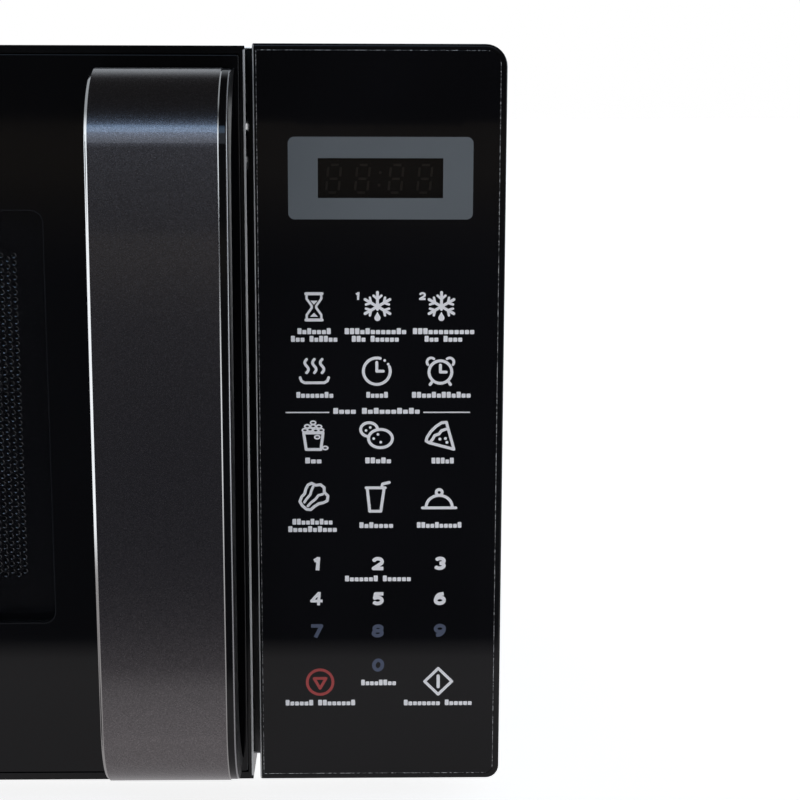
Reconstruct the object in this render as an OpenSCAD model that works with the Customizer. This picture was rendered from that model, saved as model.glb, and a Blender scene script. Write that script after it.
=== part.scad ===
// Countertop microwave oven: side-hinged door with a strap handle and a membrane control panel.
// Units are millimetres. +Z is up, the door faces -Y and the origin is on the surface
// it stands on, in the middle of its length and depth.

/* [Overall] */
// Width across the door and the control panel
oven_w = 452; // [448:1:456]
// Depth from the door face to the rear spacer
oven_d = 325; // [322:1:328]
// Height of the door
door_h = 243; // [241:1:245]
// Height of the door's lower edge above the surface
door_z = 15; // [14:1:17]
// Height of the feet
foot_h = 9; // [8:1:10]

/* [Control panel] */
// Width of the control panel
panel_w = 80.4; // [79:0.1:82]
// Gap between door and control panel
door_gap = 2.3; // [2:0.1:3]
// Radius of the panel's upper right corner
panel_r_top = 7; // [5:0.5:8]
// Radius of the panel's lower right corner
panel_r_low = 4.3; // [3:0.1:6]
// Wall of the plastic housing
panel_wall = 2.5; // [2:0.1:3]

/* [Door] */
// Thickness of the door
door_t = 36; // [34:1:37]
// Clearance between the closed door and the oven front
door_clear = 1.2; // [1.1:0.1:1.5]
// Thickness of the outer glass
glass_t = 3.2; // [3:0.1:4]
// Radius of the hinge pins
pin_r = 3; // [2.5:0.1:3.2]
// Distance of the hinge axis from the door's left and rear faces
hinge_in = 7; // [6.5:0.1:7]

/* [Handle] */
// Width of the handle
handle_w = 42.4; // [40:0.2:43]
// Length of the handle
handle_l = 229.5; // [224:0.5:232]
// How far the handle stands out of the door face
handle_reach = 39; // [38:1:41]
// Radius of the handle's upper and lower bends
handle_r = 24; // [20:1:26]
// Rise of the handle's bowed front
handle_bow = 2; // [1:0.5:3]
// Width of the metallic strap, flush with the handle's left face
strap_w = 40; // [36:0.5:40]
// Thickness of the strap
strap_t = 1.5; // [1:0.1:2]
// Depth of the finger gap behind the handle
grip_gap = 22.3; // [20:0.1:23]

/* [Cooking space] */
// Inner width of the cooking space
cavity_w = 310; // [306:1:312]
// Inner height of the cooking space
cavity_h = 206; // [204:1:208]
// Inner depth of the cooking space
cavity_d = 269; // [267:1:270]
// Diameter of the glass tray
tray_d = 245; // [240:1:250]
// Thickness of the sheet metal
sheet = 0.7; // [0.6:0.1:0.8]

/* [Hidden] */
$fn = 64;
eps = 0.01;
running = 0.05;

// Overall planes
half_w = oven_w / 2;
front_y = (handle_reach - oven_d) / 2;
back_y = (handle_reach + oven_d) / 2;
door_top = door_z + door_h;
door_back = front_y + door_t;
flange_y = door_back + door_clear;
panel_x = half_w - panel_w;
door_r = panel_x - door_gap;

// Sheet-metal case: 1 mm inside the front at each side and on top
case_in = 1;
case_x = half_w - case_in;
case_top = door_top - case_in;
case_y0 = door_back + 1.5;
spacer_d = 9;
case_y1 = back_y - spacer_d;
case_r = 6;
inner_x = case_x - sheet;
inner_top = case_top - sheet;
base_top = foot_h + sheet;
rear_y = case_y1 - sheet;

// Cooking space and what stands in it
cavity_x0 = -half_w + 19;
cavity_x1 = cavity_x0 + cavity_w;
floor_z = 30;
ceiling_z = floor_z + cavity_h;
cavity_y1 = flange_y + sheet + cavity_d;
bay_x = cavity_x1 + sheet;
flange_x1 = panel_x - 0.6;
table_x = cavity_x0 + cavity_w / 2;
table_y = flange_y + sheet + cavity_d / 2;
roll_gap = 0.3;
roller_r = 7;
roller_z = floor_z + roll_gap + roller_r;
tray_z = roller_z + roller_r + roll_gap;
roller_path = 86;
axle_r = 2;

// Door layers, front to back
hinge_x = -half_w + hinge_in;
hinge_y = door_back - hinge_in;
glass_side = 1.6;
glass_end = 2.4;
seat_y = front_y + glass_t;
plate_y = front_y + 7;
screen_y = plate_y + sheet;
window_x0 = -190;
window_x1 = 86;
window_z0 = 62;
window_z1 = 214;
hollow_x0 = -half_w + 18;
cover_y = door_back - 3.5;

// Latch: two hooks on one sprung bar
latch_x = 127;
latch_t = 4;
hook_zs = [72, 196];
hook_reach = 24;
nose_drop = 5;
latch_lift = 3;
spring_lo = 214.2;
spring_hi = 237.8;
spring_turns = 6;
spring_r = 3.5;
wire_r = 0.45;

// Handle
handle_x = 118.9 - handle_w / 2;
handle_z = door_z + door_h / 2 + 0.1;
handle_half = handle_l / 2;
arch_flat = 55;
arch_power = 4.4;
strap_wrap = 9;
post_w = 28;
post_h = 15;
screw_zs = [handle_z - handle_half + 10, handle_z + handle_half - 10];
screw_r = 1.9;

// Parts of the control panel, as [left, bottom] and [right, top] from the panel's lower left corner
panel_drop = 0.25;
panel_rise = 0.75;
panel_z = door_z - panel_drop;
panel_top = door_top + panel_rise;
sheet_in = [1.1, 1.9, 2.0, 1.9];
sheet_r = [0.6, 2.8, 4.6, 0.6];
membrane_t = 0.5;
window_lo = [20.5, 195.8];
window_hi = [60.2, 208.3];

// A box from its lowest to its highest corner
module span(low, high) { translate(low) cube(high - low); }
// Extrudes an outline drawn in [x, z] along Y, starting at y0
module along_y(y0, length) {
    translate([0, y0 + length, 0]) rotate([90, 0, 0]) linear_extrude(length) children();
}
// Extrudes an outline drawn in [y, z] along X, starting at x0
module along_x(x0, length) {
    translate([x0, 0, 0]) rotate([90, 0, 90]) linear_extrude(length) children();
}
// A cylinder along Y, starting at y0
module rod_y(x, z, y0, length, r) {
    translate([x, y0, z]) rotate([-90, 0, 0]) cylinder(h = length, r = r);
}
// A cylinder along X, starting at x0
module rod_x(y, z, x0, length, r) {
    translate([x0, y, z]) rotate([0, 90, 0]) cylinder(h = length, r = r);
}
// A flat rectangular ring facing along Y, between two pairs of corners [x, z]
module ring_y(y0, y1, out_lo, out_hi, in_lo, in_hi) {
    difference() {
        span([out_lo[0], y0, out_lo[1]], [out_hi[0], y1, out_hi[1]]);
        span([in_lo[0], y0 - 1, in_lo[1]], [in_hi[0], y1 + 1, in_hi[1]]);
    }
}
// Points of a quarter circle of radius r about c, starting at angle a0
function corner(c, r, a0, steps = 8) =
    [for (i = [0:steps]) c + r * [cos(a0 + 90 * i / steps), sin(a0 + 90 * i / steps)]];
// Outline of a rectangle lo to hi with its own radius at each corner:
// lower left, lower right, upper right, upper left
function rounded(lo, hi, r) = concat(
    corner([lo[0] + r[0], lo[1] + r[0]], r[0], 180),
    corner([hi[0] - r[1], lo[1] + r[1]], r[1], 270),
    corner([hi[0] - r[2], hi[1] - r[2]], r[2], 0),
    corner([lo[0] + r[3], hi[1] - r[3]], r[3], 90));

// ---- Case ----

// Front outline of the case, drawn in by inset
module case_outline(inset) {
    x = case_x - inset;
    r = case_r - inset;
    top = case_top - inset;
    translate([-x, foot_h]) square([2 * x, top - r - foot_h]);
    translate([r - x, foot_h]) square([2 * (x - r), top - foot_h]);
    for (side = [-1, 1]) translate([side * (x - r), top - r]) circle(r);
}

module outer_cabinet() color("#1b1b1d") {
    return_w = 10;
    slot_l = 34;
    slot_h = 3;
    slot_pitch = 8;
    difference() {
        along_y(case_y0, case_y1 - case_y0) case_outline(0);
        along_y(case_y0 - 1, rear_y - case_y0 + 1) {
            case_outline(sheet);
            translate([-inner_x, foot_h - 1]) square([2 * inner_x, 10]);
        }
        span([return_w - inner_x, rear_y - 1, 0], [inner_x - return_w, case_y1 + 1, inner_top - return_w]);
        for (side = [-1, 1], row = [0:8], col = [0:1])
            translate([side * case_x - 2, 60 + col * (slot_l + 8), 150 + row * slot_pitch])
                cube([4, slot_l, slot_h]);
    }
}

module cavity() color("#c9cbcc") {
    opening_y = [-25, 50];
    opening_z = [120, 165];
    shaft_hole_r = 6;
    vent = 4;
    difference() {
        union() {
            span([cavity_x0 - sheet, flange_y, floor_z - sheet],
                 [cavity_x1 + sheet, cavity_y1 + sheet, ceiling_z + sheet]);
            along_y(flange_y, sheet) intersection() {
                case_outline(sheet);
                translate([-inner_x, base_top]) square([flange_x1 + inner_x, inner_top - base_top]);
            }
        }
        for (z = ear_zs)
            span([-half_w, flange_y - 1, z], [hinge_x + ear_r, flange_y + 2, z + ear_t]);
        span([cavity_x0, flange_y - 1, floor_z], [cavity_x1, cavity_y1, ceiling_z]);
        span([cavity_x1 - 1, opening_y[0], opening_z[0]], [bay_x + 1, opening_y[1], opening_z[1]]);
        translate([table_x, table_y, floor_z - 3]) cylinder(h = 6, r = shaft_hole_r);
        for (z = hook_zs)
            span([latch_x - 3, flange_y - 1, z - nose_drop - 3],
                 [latch_x + latch_t + 4, flange_y + 2, z + 16 + latch_lift]);
        for (row = [0:4], col = [0:5]) {
            translate([cavity_x1 - 1, -66 + col * 6.5, 175 + row * 6.5]) cube([3, vent, vent]);
            translate([cavity_x0 - 2, 110 + col * 6.5, 180 + row * 6.5]) cube([3, vent, vent]);
        }
    }
}

module rear_panel() color("#8f9294") {
    slot_h = 3;
    gland_r = 8;
    difference() {
        along_y(rear_y - sheet, sheet) intersection() {
            case_outline(sheet);
            translate([-inner_x, base_top]) square([2 * inner_x, inner_top - base_top]);
        }
        for (row = [0:11], col = [0:2])
            translate([118 + col * 32, rear_y - 3, 130 + row * 8]) cube([26, 6, slot_h]);
        for (row = [0:7], col = [0:2])
            translate([-190 + col * 32, rear_y - 3, 120 + row * 8]) cube([26, 6, slot_h]);
        rod_y(gland_x, gland_z, rear_y - 3, 6, gland_r);
    }
}

module base_plate() color("#9a9d9f") {
    lip = 8;
    difference() {
        union() {
            span([-inner_x, flange_y + sheet, foot_h], [inner_x, rear_y - sheet, base_top]);
            for (side = [-1, 1])
                translate([side * (inner_x - sheet / 2) - sheet / 2, flange_y + sheet, foot_h])
                    cube([sheet, rear_y - flange_y - 2 * sheet, lip]);
        }
        for (row = [0:5], col = [0:1])
            translate([60 + col * 34, 60 + row * 10, foot_h - 1]) cube([28, 4, 3]);
    }
}

module feet() color("#161616") {
    foot_x = 190;
    foot_y = [-88, 148];
    for (x = [-foot_x, foot_x], y = foot_y) translate([x, y, 0]) {
        cylinder(h = 3, r1 = 8, r2 = 9);
        translate([0, 0, 3 - eps]) cylinder(h = foot_h - 3 + eps, r = 9);
    }
}

module rear_spacer() color("#161616") {
    for (x = [-150, 60]) {
        span([x, rear_y, 210], [x + 26, case_y1 + 5, 236]);
        span([x + 4, case_y1 + 5 - eps, 214], [x + 22, back_y, 232]);
    }
}

module cabinet_screws() color("silver") {
    head_r = 4.2;
    for (side = [-1, 1], z = [40, 140, 235])
        rod_y(side * (inner_x - 5), z, case_y1, 2.2, head_r);
    for (x = [-100, 0, 150]) rod_y(x, inner_top - 5, case_y1, 2.2, head_r);
}

gland_x = 196;
gland_z = 46;

module cord_gland() color("#202020") {
    difference() {
        union() {
            rod_y(gland_x, gland_z, rear_y - sheet - 4, sheet + 4, 7.9);
            rod_y(gland_x, gland_z, rear_y, 4, 11);
        }
        rod_y(gland_x, gland_z, rear_y - 10, 20, 3.9);
    }
}

// ---- Control panel ----

module panel_housing() color("#0c0d10") {
    r = [0.6, panel_r_low, panel_r_top, 0.6];
    r_in = [0.3, panel_r_low - panel_wall, panel_r_top - panel_wall, 0.3];
    lo = [panel_x, panel_z];
    hi = [half_w, panel_top];
    wall = [panel_wall, panel_wall];
    slot = [6, 2];
    difference() {
        along_y(front_y, case_y0 - front_y) polygon(rounded(lo, hi, r));
        along_y(front_y + panel_wall, door_t + 10) polygon(rounded(lo + wall, hi - wall, r_in));
        along_y(front_y - 1, membrane_t + 1) polygon(membrane_outline());
        along_y(front_y - 1, 10) translate([panel_x, panel_z]) translate(window_lo)
            square(window_hi - window_lo);
        translate([panel_x + 30, front_y - 1, panel_z + slot[0]]) cube([20, 10, slot[1]]);
    }
}

function membrane_outline() = rounded(
    [panel_x + sheet_in[0], panel_z + sheet_in[1]],
    [half_w - sheet_in[2], panel_top - sheet_in[3]], sheet_r);

module membrane_sheet() color("#101116") {
    difference() {
        along_y(front_y, membrane_t) polygon(membrane_outline());
        along_y(front_y - 1, 3) translate([panel_x, panel_z]) translate(window_lo)
            square(window_hi - window_lo);
    }
}

module display_window() color("#1a1512") {
    along_y(front_y + 0.1, panel_wall) translate([panel_x, panel_z]) translate(window_lo)
        square(window_hi - window_lo);
}

board_y = front_y + 18;

module display_module() color("#2b2b2b") {
    lip = [1, 1];
    along_y(front_y + panel_wall + 0.2, board_y - front_y - panel_wall - 0.2)
        translate([panel_x, panel_z]) translate(window_lo - lip)
            square(window_hi - window_lo + 2 * lip);
}

module control_board() color("#2f6b3c") {
    span([panel_x + 6, board_y, panel_z + 40], [half_w - 7, board_y + 1.6, panel_top - 14]);
    for (x = [panel_x + 12, half_w - 14], z = [panel_z + 50, panel_top - 24])
        rod_y(x, z, front_y + panel_wall, board_y - front_y - panel_wall, 2.5);
}

module board_relays() color("#d8b23c") {
    y = board_y + 1.6;
    span([panel_x + 12, y, 150], [panel_x + 30, y + 14, 178]);
    span([panel_x + 36, y, 150], [panel_x + 52, y + 12, 166]);
    span([panel_x + 14, y, 90], [panel_x + 48, y + 15, 122]);
    for (z = [70, 78]) span([panel_x + 12, y, z], [panel_x + 30, y + 8, z + 5]);
}

// The keypad's flat tail, folded through a slot to the board
module membrane_tail() color("#c8ccd2") {
    y0 = front_y + panel_wall;
    span([panel_x + 31, y0, panel_z + 6.2], [panel_x + 49, board_y + 4, panel_z + 6.6]);
    span([panel_x + 31, board_y + 3.6, panel_z + 6.2], [panel_x + 49, board_y + 4, panel_z + 52]);
}

// ---- Door latch and interlock ----

lever_y = -72;
lever_z = 88;

// Bracket behind the oven front, with a ledge under each hook and the lever's pin
module latch_board() color("#d9d9d4") {
    y0 = flange_y + sheet;
    ledge_gap = 0.5;
    difference() {
        span([latch_x + 9, y0, 44], [latch_x + 11, y0 + 40, 232]);
        span([latch_x, y0 + 10, 120], [latch_x + 20, y0 + 30, 170]);
    }
    for (z = hook_zs) {
        low = z - nose_drop - ledge_gap;
        span([latch_x - 6, y0, low - 6], [latch_x + 9, y0 + 8, low]);
        span([latch_x - 6, y0, low - 12], [latch_x + 9, y0 + 30, low - 10]);
        span([latch_x - 6, y0, low - 12], [latch_x - 4, y0 + 30, low]);
    }
    rod_x(lever_y, lever_z, latch_x - 6, 16, 2);
}

module interlock_lever() color("#e8e4da") {
    t = latch_t + 2;
    difference() {
        union() {
            rod_x(lever_y, lever_z, latch_x - 1, t, 4.5);
            span([latch_x - 1, lever_y - 9.2, lever_z - 22], [latch_x - 1 + t, lever_y - 5, lever_z + 2]);
            span([latch_x - 1, lever_y - 6, lever_z - 3], [latch_x - 1 + t, lever_y - 3, lever_z + 2]);
        }
        rod_x(lever_y, lever_z, latch_x - 2, t + 2, 2 + running);
    }
}

module microswitches() color("#303236") {
    body = [10, 12, 22];
    for (z = [120, 150, 180]) translate([latch_x + 11, flange_y + 4, z]) {
        cube(body);
        for (k = [0, 1]) translate([3, 12 - eps, 4 + k * 11]) cube([1, 6, 3]);
    }
}

// ---- Microwave source ----

mag_x = bay_x + 20;
mag_y = 12.5;
mag_z = 180;

module waveguide() color("#b9bcbe") {
    y = [-30, 55];
    z = [112, 212];
    difference() {
        span([bay_x, y[0], z[0]], [mag_x - 1, y[1], z[1]]);
        span([bay_x + 1, y[0] + 1, z[0] + 1], [mag_x - 2, y[1] - 1, z[1] - 1]);
        span([bay_x - 1, -25, 120], [bay_x + 2, 50, 165]);
        rod_x(mag_y, mag_z, mag_x - 4, 5, 9);
    }
}

module waveguide_cover() color("#b8a888") {
    span([cavity_x1 - 0.8, -33, 113], [cavity_x1, 58, 172]);
}

module magnetron_yoke() color("#a8abad") {
    y = [mag_y - 39, mag_y + 39];
    z = [mag_z - 38, mag_z + 38];
    x1 = mag_x + 60;
    difference() {
        span([mag_x - 1, y[0], z[0]], [x1, y[1], z[1]]);
        span([mag_x + 1, y[0] - 1, z[0] + 1.5], [x1 - 1.5, y[1] + 1, z[1] - 1.5]);
        rod_x(mag_y, mag_z, mag_x - 2, 5, 9);
        rod_x(mag_y, mag_z, x1 - 3, 5, 12);
    }
}

module magnetron_anode() color("#c98a5a") {
    magnet_t = 10;
    magnet_r = 26;
    rod_x(mag_y, mag_z, mag_x - 15, 16 + eps, 7);
    rod_x(mag_y, mag_z, mag_x + 1, magnet_t, magnet_r);
    rod_x(mag_y, mag_z, mag_x + 10, 38, 19);
    rod_x(mag_y, mag_z, mag_x + 58.5 - magnet_t, magnet_t, magnet_r);
}

module magnetron_fins() color("#d5d8da") {
    fin = 0.8;
    for (i = [0:5])
        difference() {
            span([mag_x + 14 + i * 5.5, mag_y - 38, mag_z - 36.5],
                 [mag_x + 14 + i * 5.5 + fin, mag_y + 38, mag_z + 36.5]);
            rod_x(mag_y, mag_z, mag_x, 60, 19 + running);
        }
}

module magnetron_filter() color("#b3b6b8") {
    x0 = mag_x + 60;
    difference() {
        span([x0, mag_y - 30, mag_z - 30], [x0 + 24, mag_y + 30, mag_z + 30]);
        span([x0 + 1, mag_y - 29, mag_z - 29], [x0 + 23, mag_y + 29, mag_z + 29]);
    }
    span([x0 + 4, mag_y - 44, mag_z - 12], [x0 + 20, mag_y - 30, mag_z + 12]);
}

core_lo = [137, -62, base_top];
core_hi = [213, -2, base_top + 66];

module transformer_core() color("#5a5148") {
    leg = 24;
    mid = (core_lo[0] + core_hi[0]) / 2;
    difference() {
        span(core_lo, core_hi);
        for (side = [-1, 1])
            translate([mid + side * (leg / 2 + 7) - 7, core_lo[1] - 1, core_lo[2] + 13])
                cube([14, 62, 40]);
    }
    for (side = [-1, 1])
        translate([mid + side * 42 - 4, core_lo[1] + 20, base_top]) cube([8, 20, 3]);
}

module transformer_coils() color("#b5643a") {
    mid = (core_lo[0] + core_hi[0]) / 2;
    wrap = 7;
    difference() {
        span([mid - 25.5, core_lo[1] - wrap, core_lo[2] + 14], [mid + 25.5, core_hi[1] + wrap, core_lo[2] + 52]);
        span([mid - 12.2, core_lo[1] - 0.2, core_lo[2]], [mid + 12.2, core_hi[1] + 0.2, core_hi[2]]);
    }
}

cap_x = 172;
cap_z = base_top + 19;
cap_half = 17;
cap_r = 16;

module capacitor_outline(grow) {
    for (side = [-1, 1]) translate([cap_x + side * cap_half, cap_z]) circle(cap_r + grow);
    translate([cap_x - cap_half, cap_z - cap_r - grow]) square([2 * cap_half, 2 * (cap_r + grow)]);
}

module hv_capacitor() color("#c3c6c8") {
    along_y(62, 78) capacitor_outline(0);
    for (x = [-8, 8]) rod_y(cap_x + x, cap_z, 54, 8 + eps, 3);
}

module capacitor_clamp() color("#9c9fa1") {
    difference() {
        union() {
            along_y(94, 12) capacitor_outline(1.2);
            span([cap_x - cap_half - 28, 94, base_top], [cap_x, 106, base_top + 2]);
        }
        along_y(93, 14) capacitor_outline(0.1);
    }
}

module hv_diode() color("#26262a") {
    rod_y(cap_x, cap_z + cap_r + 8, 56, 20, 3.5);
    span([cap_x - 3, 60, cap_z + cap_r], [cap_x + 3, 64, cap_z + cap_r + 6]);
}

// ---- Cooling and light ----

fan_x = 165;
fan_z = 178;
fan_y = 120;

module fan_shroud() color("#2a2c2f") {
    difference() {
        union() {
            span([fan_x - 54, fan_y, fan_z - 54], [fan_x + 54, fan_y + 2, fan_z + 54]);
            rod_y(fan_x, fan_z, fan_y - 18, 18 + eps, 50);
        }
        rod_y(fan_x, fan_z, fan_y - 20, 40, 48);
    }
}

module fan_motor() color("#8d8f92") {
    y0 = fan_y + 8;
    difference() {
        union() {
            span([fan_x - 24, y0, fan_z - 30], [fan_x + 24, y0 + 16, fan_z + 26]);
            rod_y(fan_x, fan_z, y0 - 5, 26, 14);
            for (side = [-1, 1])
                span([fan_x + side * 40 - 17, fan_y + 2, fan_z - 6], [fan_x + side * 40 + 17, fan_y + 4, fan_z + 6]);
            for (side = [-1, 1])
                span([fan_x + side * 25 - 2, fan_y + 2, fan_z - 6], [fan_x + side * 25 + 2, y0 + 6, fan_z + 6]);
        }
        rod_y(fan_x, fan_z, fan_y - 1, 40, axle_r + running);
        span([fan_x - 14, y0 - 1, fan_z - 26], [fan_x + 14, y0 + 20, fan_z - 16]);
    }
}

module fan_shaft() color("silver") {
    rod_y(fan_x, fan_z, fan_y - 17, 47, axle_r);
}

module fan_impeller() color("#d9dcdd") {
    hub_r = 11;
    difference() {
        union() {
            rod_y(fan_x, fan_z, fan_y - 16, 14, hub_r);
            for (i = [0:4])
                translate([fan_x, fan_y - 9, fan_z]) rotate([0, i * 72, 0])
                    translate([hub_r - 2, 0, 0]) rotate([35, 0, 0]) translate([0, -0.6, -11])
                        cube([35, 1.2, 22]);
        }
        rod_y(fan_x, fan_z, fan_y - 20, 40, axle_r);
    }
}

lamp_x = bay_x + 16;
lamp_z = 196;
duct_y = -62;

// Duct that leads the fan's air from the magnetron to the cooking space
module air_duct() color("#33363a") {
    lo = [bay_x, duct_y, 168];
    hi = [bay_x + 78, -31, 212];
    difference() {
        span(lo, hi);
        span([lo[0] - 1, lo[1] + 1.5, lo[2] + 1.5], [hi[0] - 1.5, hi[1] + 1, hi[2] - 1.5]);
        rod_y(lamp_x, lamp_z, lo[1] - 1, 6, 11);
    }
}

module oven_lamp() color("#f4ecd0") {
    rod_y(lamp_x, lamp_z, duct_y + 6, 10, 6);
    translate([lamp_x, duct_y + 17, lamp_z]) sphere(8);
}

module lamp_socket() color("#e6e2d8") {
    rod_y(lamp_x, lamp_z, duct_y - 2.4, 8.4, 10);
    span([bay_x, duct_y + 1.6, lamp_z - 6], [bay_x + 8, duct_y + 6, lamp_z + 6]);
}

module thermal_cutouts() color("#3a3a3c") {
    for (at = [[20, 60], [-20, 100]]) translate([at[0], at[1], ceiling_z + sheet]) {
        cylinder(h = 7, r = 8);
        span([-12, -2, 0], [12, 2, 1]);
    }
    translate([mag_x + 30, mag_y, mag_z + 38]) cylinder(h = 6, r = 7);
}

module filter_board() color("#3a6f46") {
    z = inner_top - 14;
    span([120, 60, z], [205, 112, z + 1.6]);
    translate([140, 78, z + 1.6]) cylinder(h = 9, r = 10);
    span([160, 66, z + 1.6], [182, 82, z + 10]);
    span([160, 90, z + 1.6], [196, 98, z + 8]);
    for (x = [122, 203], y = [62, 110]) translate([x, y, z - 6]) cylinder(h = 6, r = 1.8);
}

// Leads between the parts of the electrical bay, each one a run of round segments
module lead(points, r) {
    for (i = [0:len(points) - 2]) {
        a = points[i];
        d = points[i + 1] - a;
        l = norm(d);
        translate(a) rotate([0, acos(d[2] / l), atan2(d[1], d[0])]) cylinder(h = l, r = r);
    }
    for (i = [1:len(points) - 2]) translate(points[i]) sphere(1.25 * r);
}

module wiring_harness() color("#a02626") {
    lead([[194, 7.5, 50], [216, 8, 60], [217, -26, 120], [217, -38, 160], [210, -35, 174]], 1.8);
    lead([[180, 7.5, 40], [182, 30, 44], [180, 52.5, cap_z + 2]], 1.8);
    lead([[196, 20, 20], [212, 60, 30], [212, 92, 60], [212, 92, 236], [208, 92, 242]], 2);
}

// ---- Turntable ----

module turntable_motor() color("#b9bbbd") {
    top = floor_z - sheet - 1;
    low = base_top + 3;
    difference() {
        union() {
            translate([table_x, table_y, low]) cylinder(h = top - low, r = 24.5);
            for (side = [-1, 1])
                translate([table_x + side * 28 - 6, table_y - 5, top - 1]) cube([12, 10, 2]);
            translate([table_x - 7, table_y + 20, low]) cube([14, 14, 10]);
        }
        translate([table_x, table_y, top - 9]) cylinder(h = 12, r = 3.5 + running);
    }
}

module turntable_coupler() color("#e9e6dc") {
    translate([table_x, table_y, 0]) {
        translate([0, 0, floor_z - 9]) cylinder(h = 14, r = 3.5);
        translate([0, 0, floor_z + 1.5]) cylinder(h = 7, r = 10);
        for (i = [0:2]) rotate([0, 0, 120 * i + 90])
            translate([0, -3.5, floor_z + 6]) cube([21, 7, tray_z - floor_z - 6]);
    }
}

module glass_tray() color("#dfe9e8", 0.5) {
    r = tray_d / 2;
    t = 4;
    lug_path = 15;
    translate([table_x, table_y, tray_z]) {
        rotate_extrude($fn = 96)
            polygon([[0, 0], [r - 20, 0], [r - 3, 6], [r, 8], [r, 11], [r - 2, 11], [r - 6, 8.5],
                     [r - 22, t], [0, t]]);
        for (i = [0:2]) rotate([0, 0, 120 * i + 150])
            translate([lug_path, 0, -4]) cylinder(h = 4 + eps, r = 3.5);
    }
}

module roller_ring() color("#d8d5cb") {
    ring_r = 76;
    translate([table_x, table_y, 0]) {
        rotate_extrude($fn = 96) translate([ring_r, roller_z - 3]) square([5, 6]);
        for (i = [0:2]) rotate([0, 0, 120 * i])
            rod_x(0, roller_z, ring_r + 2, 16, axle_r);
        for (i = [0:2]) rotate([0, 0, 120 * i])
            span([ring_r, -6, roller_z - 3], [ring_r + 6, 6, roller_z + 3]);
    }
}

module roller(index) color("#c9c6bc") {
    width = 6;
    translate([table_x, table_y, 0]) rotate([0, 0, 120 * index])
        difference() {
            rod_x(0, roller_z, roller_path - width / 2, width, roller_r);
            rod_x(0, roller_z, roller_path - width, 2 * width, axle_r + running);
        }
}
module roller_a() { roller(0); }
module roller_b() { roller(1); }
module roller_c() { roller(2); }

// ---- Hinge ----

ear_t = 3;
ear_r = 5;
ear_zs = [door_z + 12, door_top - 15];

// Ear that reaches through the oven front into a notch of the door
module hinge_ear(z) {
    plate_t = 1.5;
    back = flange_y + sheet;
    difference() {
        union() {
            translate([hinge_x, hinge_y, z]) cylinder(h = ear_t, r = ear_r);
            span([hinge_x - ear_r, hinge_y, z], [hinge_x + ear_r, back + eps, z + ear_t]);
            span([-inner_x + 2, back, z - 9], [hinge_x + 9, back + plate_t, z + ear_t + 6]);
        }
        translate([hinge_x, hinge_y, z - 1]) cylinder(h = ear_t + 2, r = pin_r);
    }
}
module upper_hinge() color("#8a8d90") { hinge_ear(ear_zs[1]); }
module lower_hinge() color("#8a8d90") { hinge_ear(ear_zs[0]); }

module hinge_pins() color("silver") {
    length = 14;
    translate([hinge_x, hinge_y, ear_zs[1]]) cylinder(h = length, r = pin_r);
    translate([hinge_x, hinge_y, ear_zs[0] + ear_t - length]) cylinder(h = length, r = pin_r);
}

// ---- Door ----

module door_frame() color("#0b0b0d") {
    wall = 3;
    seat_t = 3;
    notch = [12, 9, 0.6];
    difference() {
        union() {
            difference() {
                translate([0, 0, door_z]) linear_extrude(door_h) door_outline();
                span([hollow_x0, seat_y + seat_t, door_z + wall],
                     [door_r - wall, door_back + 1, door_top - wall]);
            }
            span([latch_x - 5, plate_y + 3, spring_hi + 0.2], [latch_x + 9, cover_y, spring_hi + 3]);
            span([latch_x + 7, seat_y + seat_t - eps, door_z + 20], [latch_x + 9, plate_y + 20, spring_hi + 3]);
        }
        span([glass_side - half_w, front_y - 1, door_z + glass_end],
             [door_r - glass_side, seat_y, door_top - glass_end]);
        span([window_x0, front_y, window_z0], [window_x1, plate_y + 1, window_z1]);
        for (z = ear_zs)
            span([-half_w - 1, hinge_y - notch[1], z - notch[2]],
                 [hinge_x + notch[0], door_back + 1, z + ear_t + notch[2]]);
        translate([hinge_x, hinge_y, ear_zs[1]]) cylinder(h = 30, r = pin_r + running);
        translate([hinge_x, hinge_y, ear_zs[0] - 20]) cylinder(h = 20 + ear_t, r = pin_r + running);
        for (z = screw_zs) rod_y(handle_x + handle_w / 2, z, front_y - 1, 12, screw_r + 0.3);
    }
}

// Plan of the door, rounded about the hinge axis so that its rear corner clears the oven front
module door_outline() {
    translate([-half_w, front_y]) square([door_r + half_w, door_t - hinge_in]);
    translate([hinge_x, front_y]) square([door_r - hinge_x, door_t]);
    translate([hinge_x, hinge_y]) circle(hinge_in);
}

module door_glass() color("#08080a") {
    difference() {
        span([glass_side - half_w, front_y, door_z + glass_end],
             [door_r - glass_side, seat_y, door_top - glass_end]);
        for (z = screw_zs) rod_y(handle_x + handle_w / 2, z, front_y - 1, 6, screw_r + 0.3);
    }
}

// Stamped inner pan of the door with a folded choke rim
module door_plate() color("#6d7073") {
    lo = [hollow_x0 + 1, door_z + 4];
    hi = [latch_x - 6, door_top - 4];
    rim_y = cover_y - 2;
    rim = 12;
    edge = [sheet, sheet];
    fold = [rim, rim];
    difference() {
        union() {
            ring_y(plate_y, screen_y, lo, hi, [window_x0 + 5, window_z0 + 5], [window_x1 - 5, window_z1 - 5]);
            ring_y(plate_y, rim_y, lo, hi, lo + edge, hi - edge);
            ring_y(rim_y - sheet, rim_y, lo, hi, lo + fold, hi - fold);
        }
        for (z = screw_zs) rod_y(handle_x + handle_w / 2, z, front_y, 20, 5);
    }
}

module door_screen() color("#1a1a1c") {
    span([window_x0, screen_y, window_z0], [window_x1, screen_y + 0.6, window_z1]);
}

module inner_window() color("#3a3d40", 0.4) {
    span([window_x0, screen_y + 0.6, window_z0], [window_x1, screen_y + 1.6, window_z1]);
}

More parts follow.
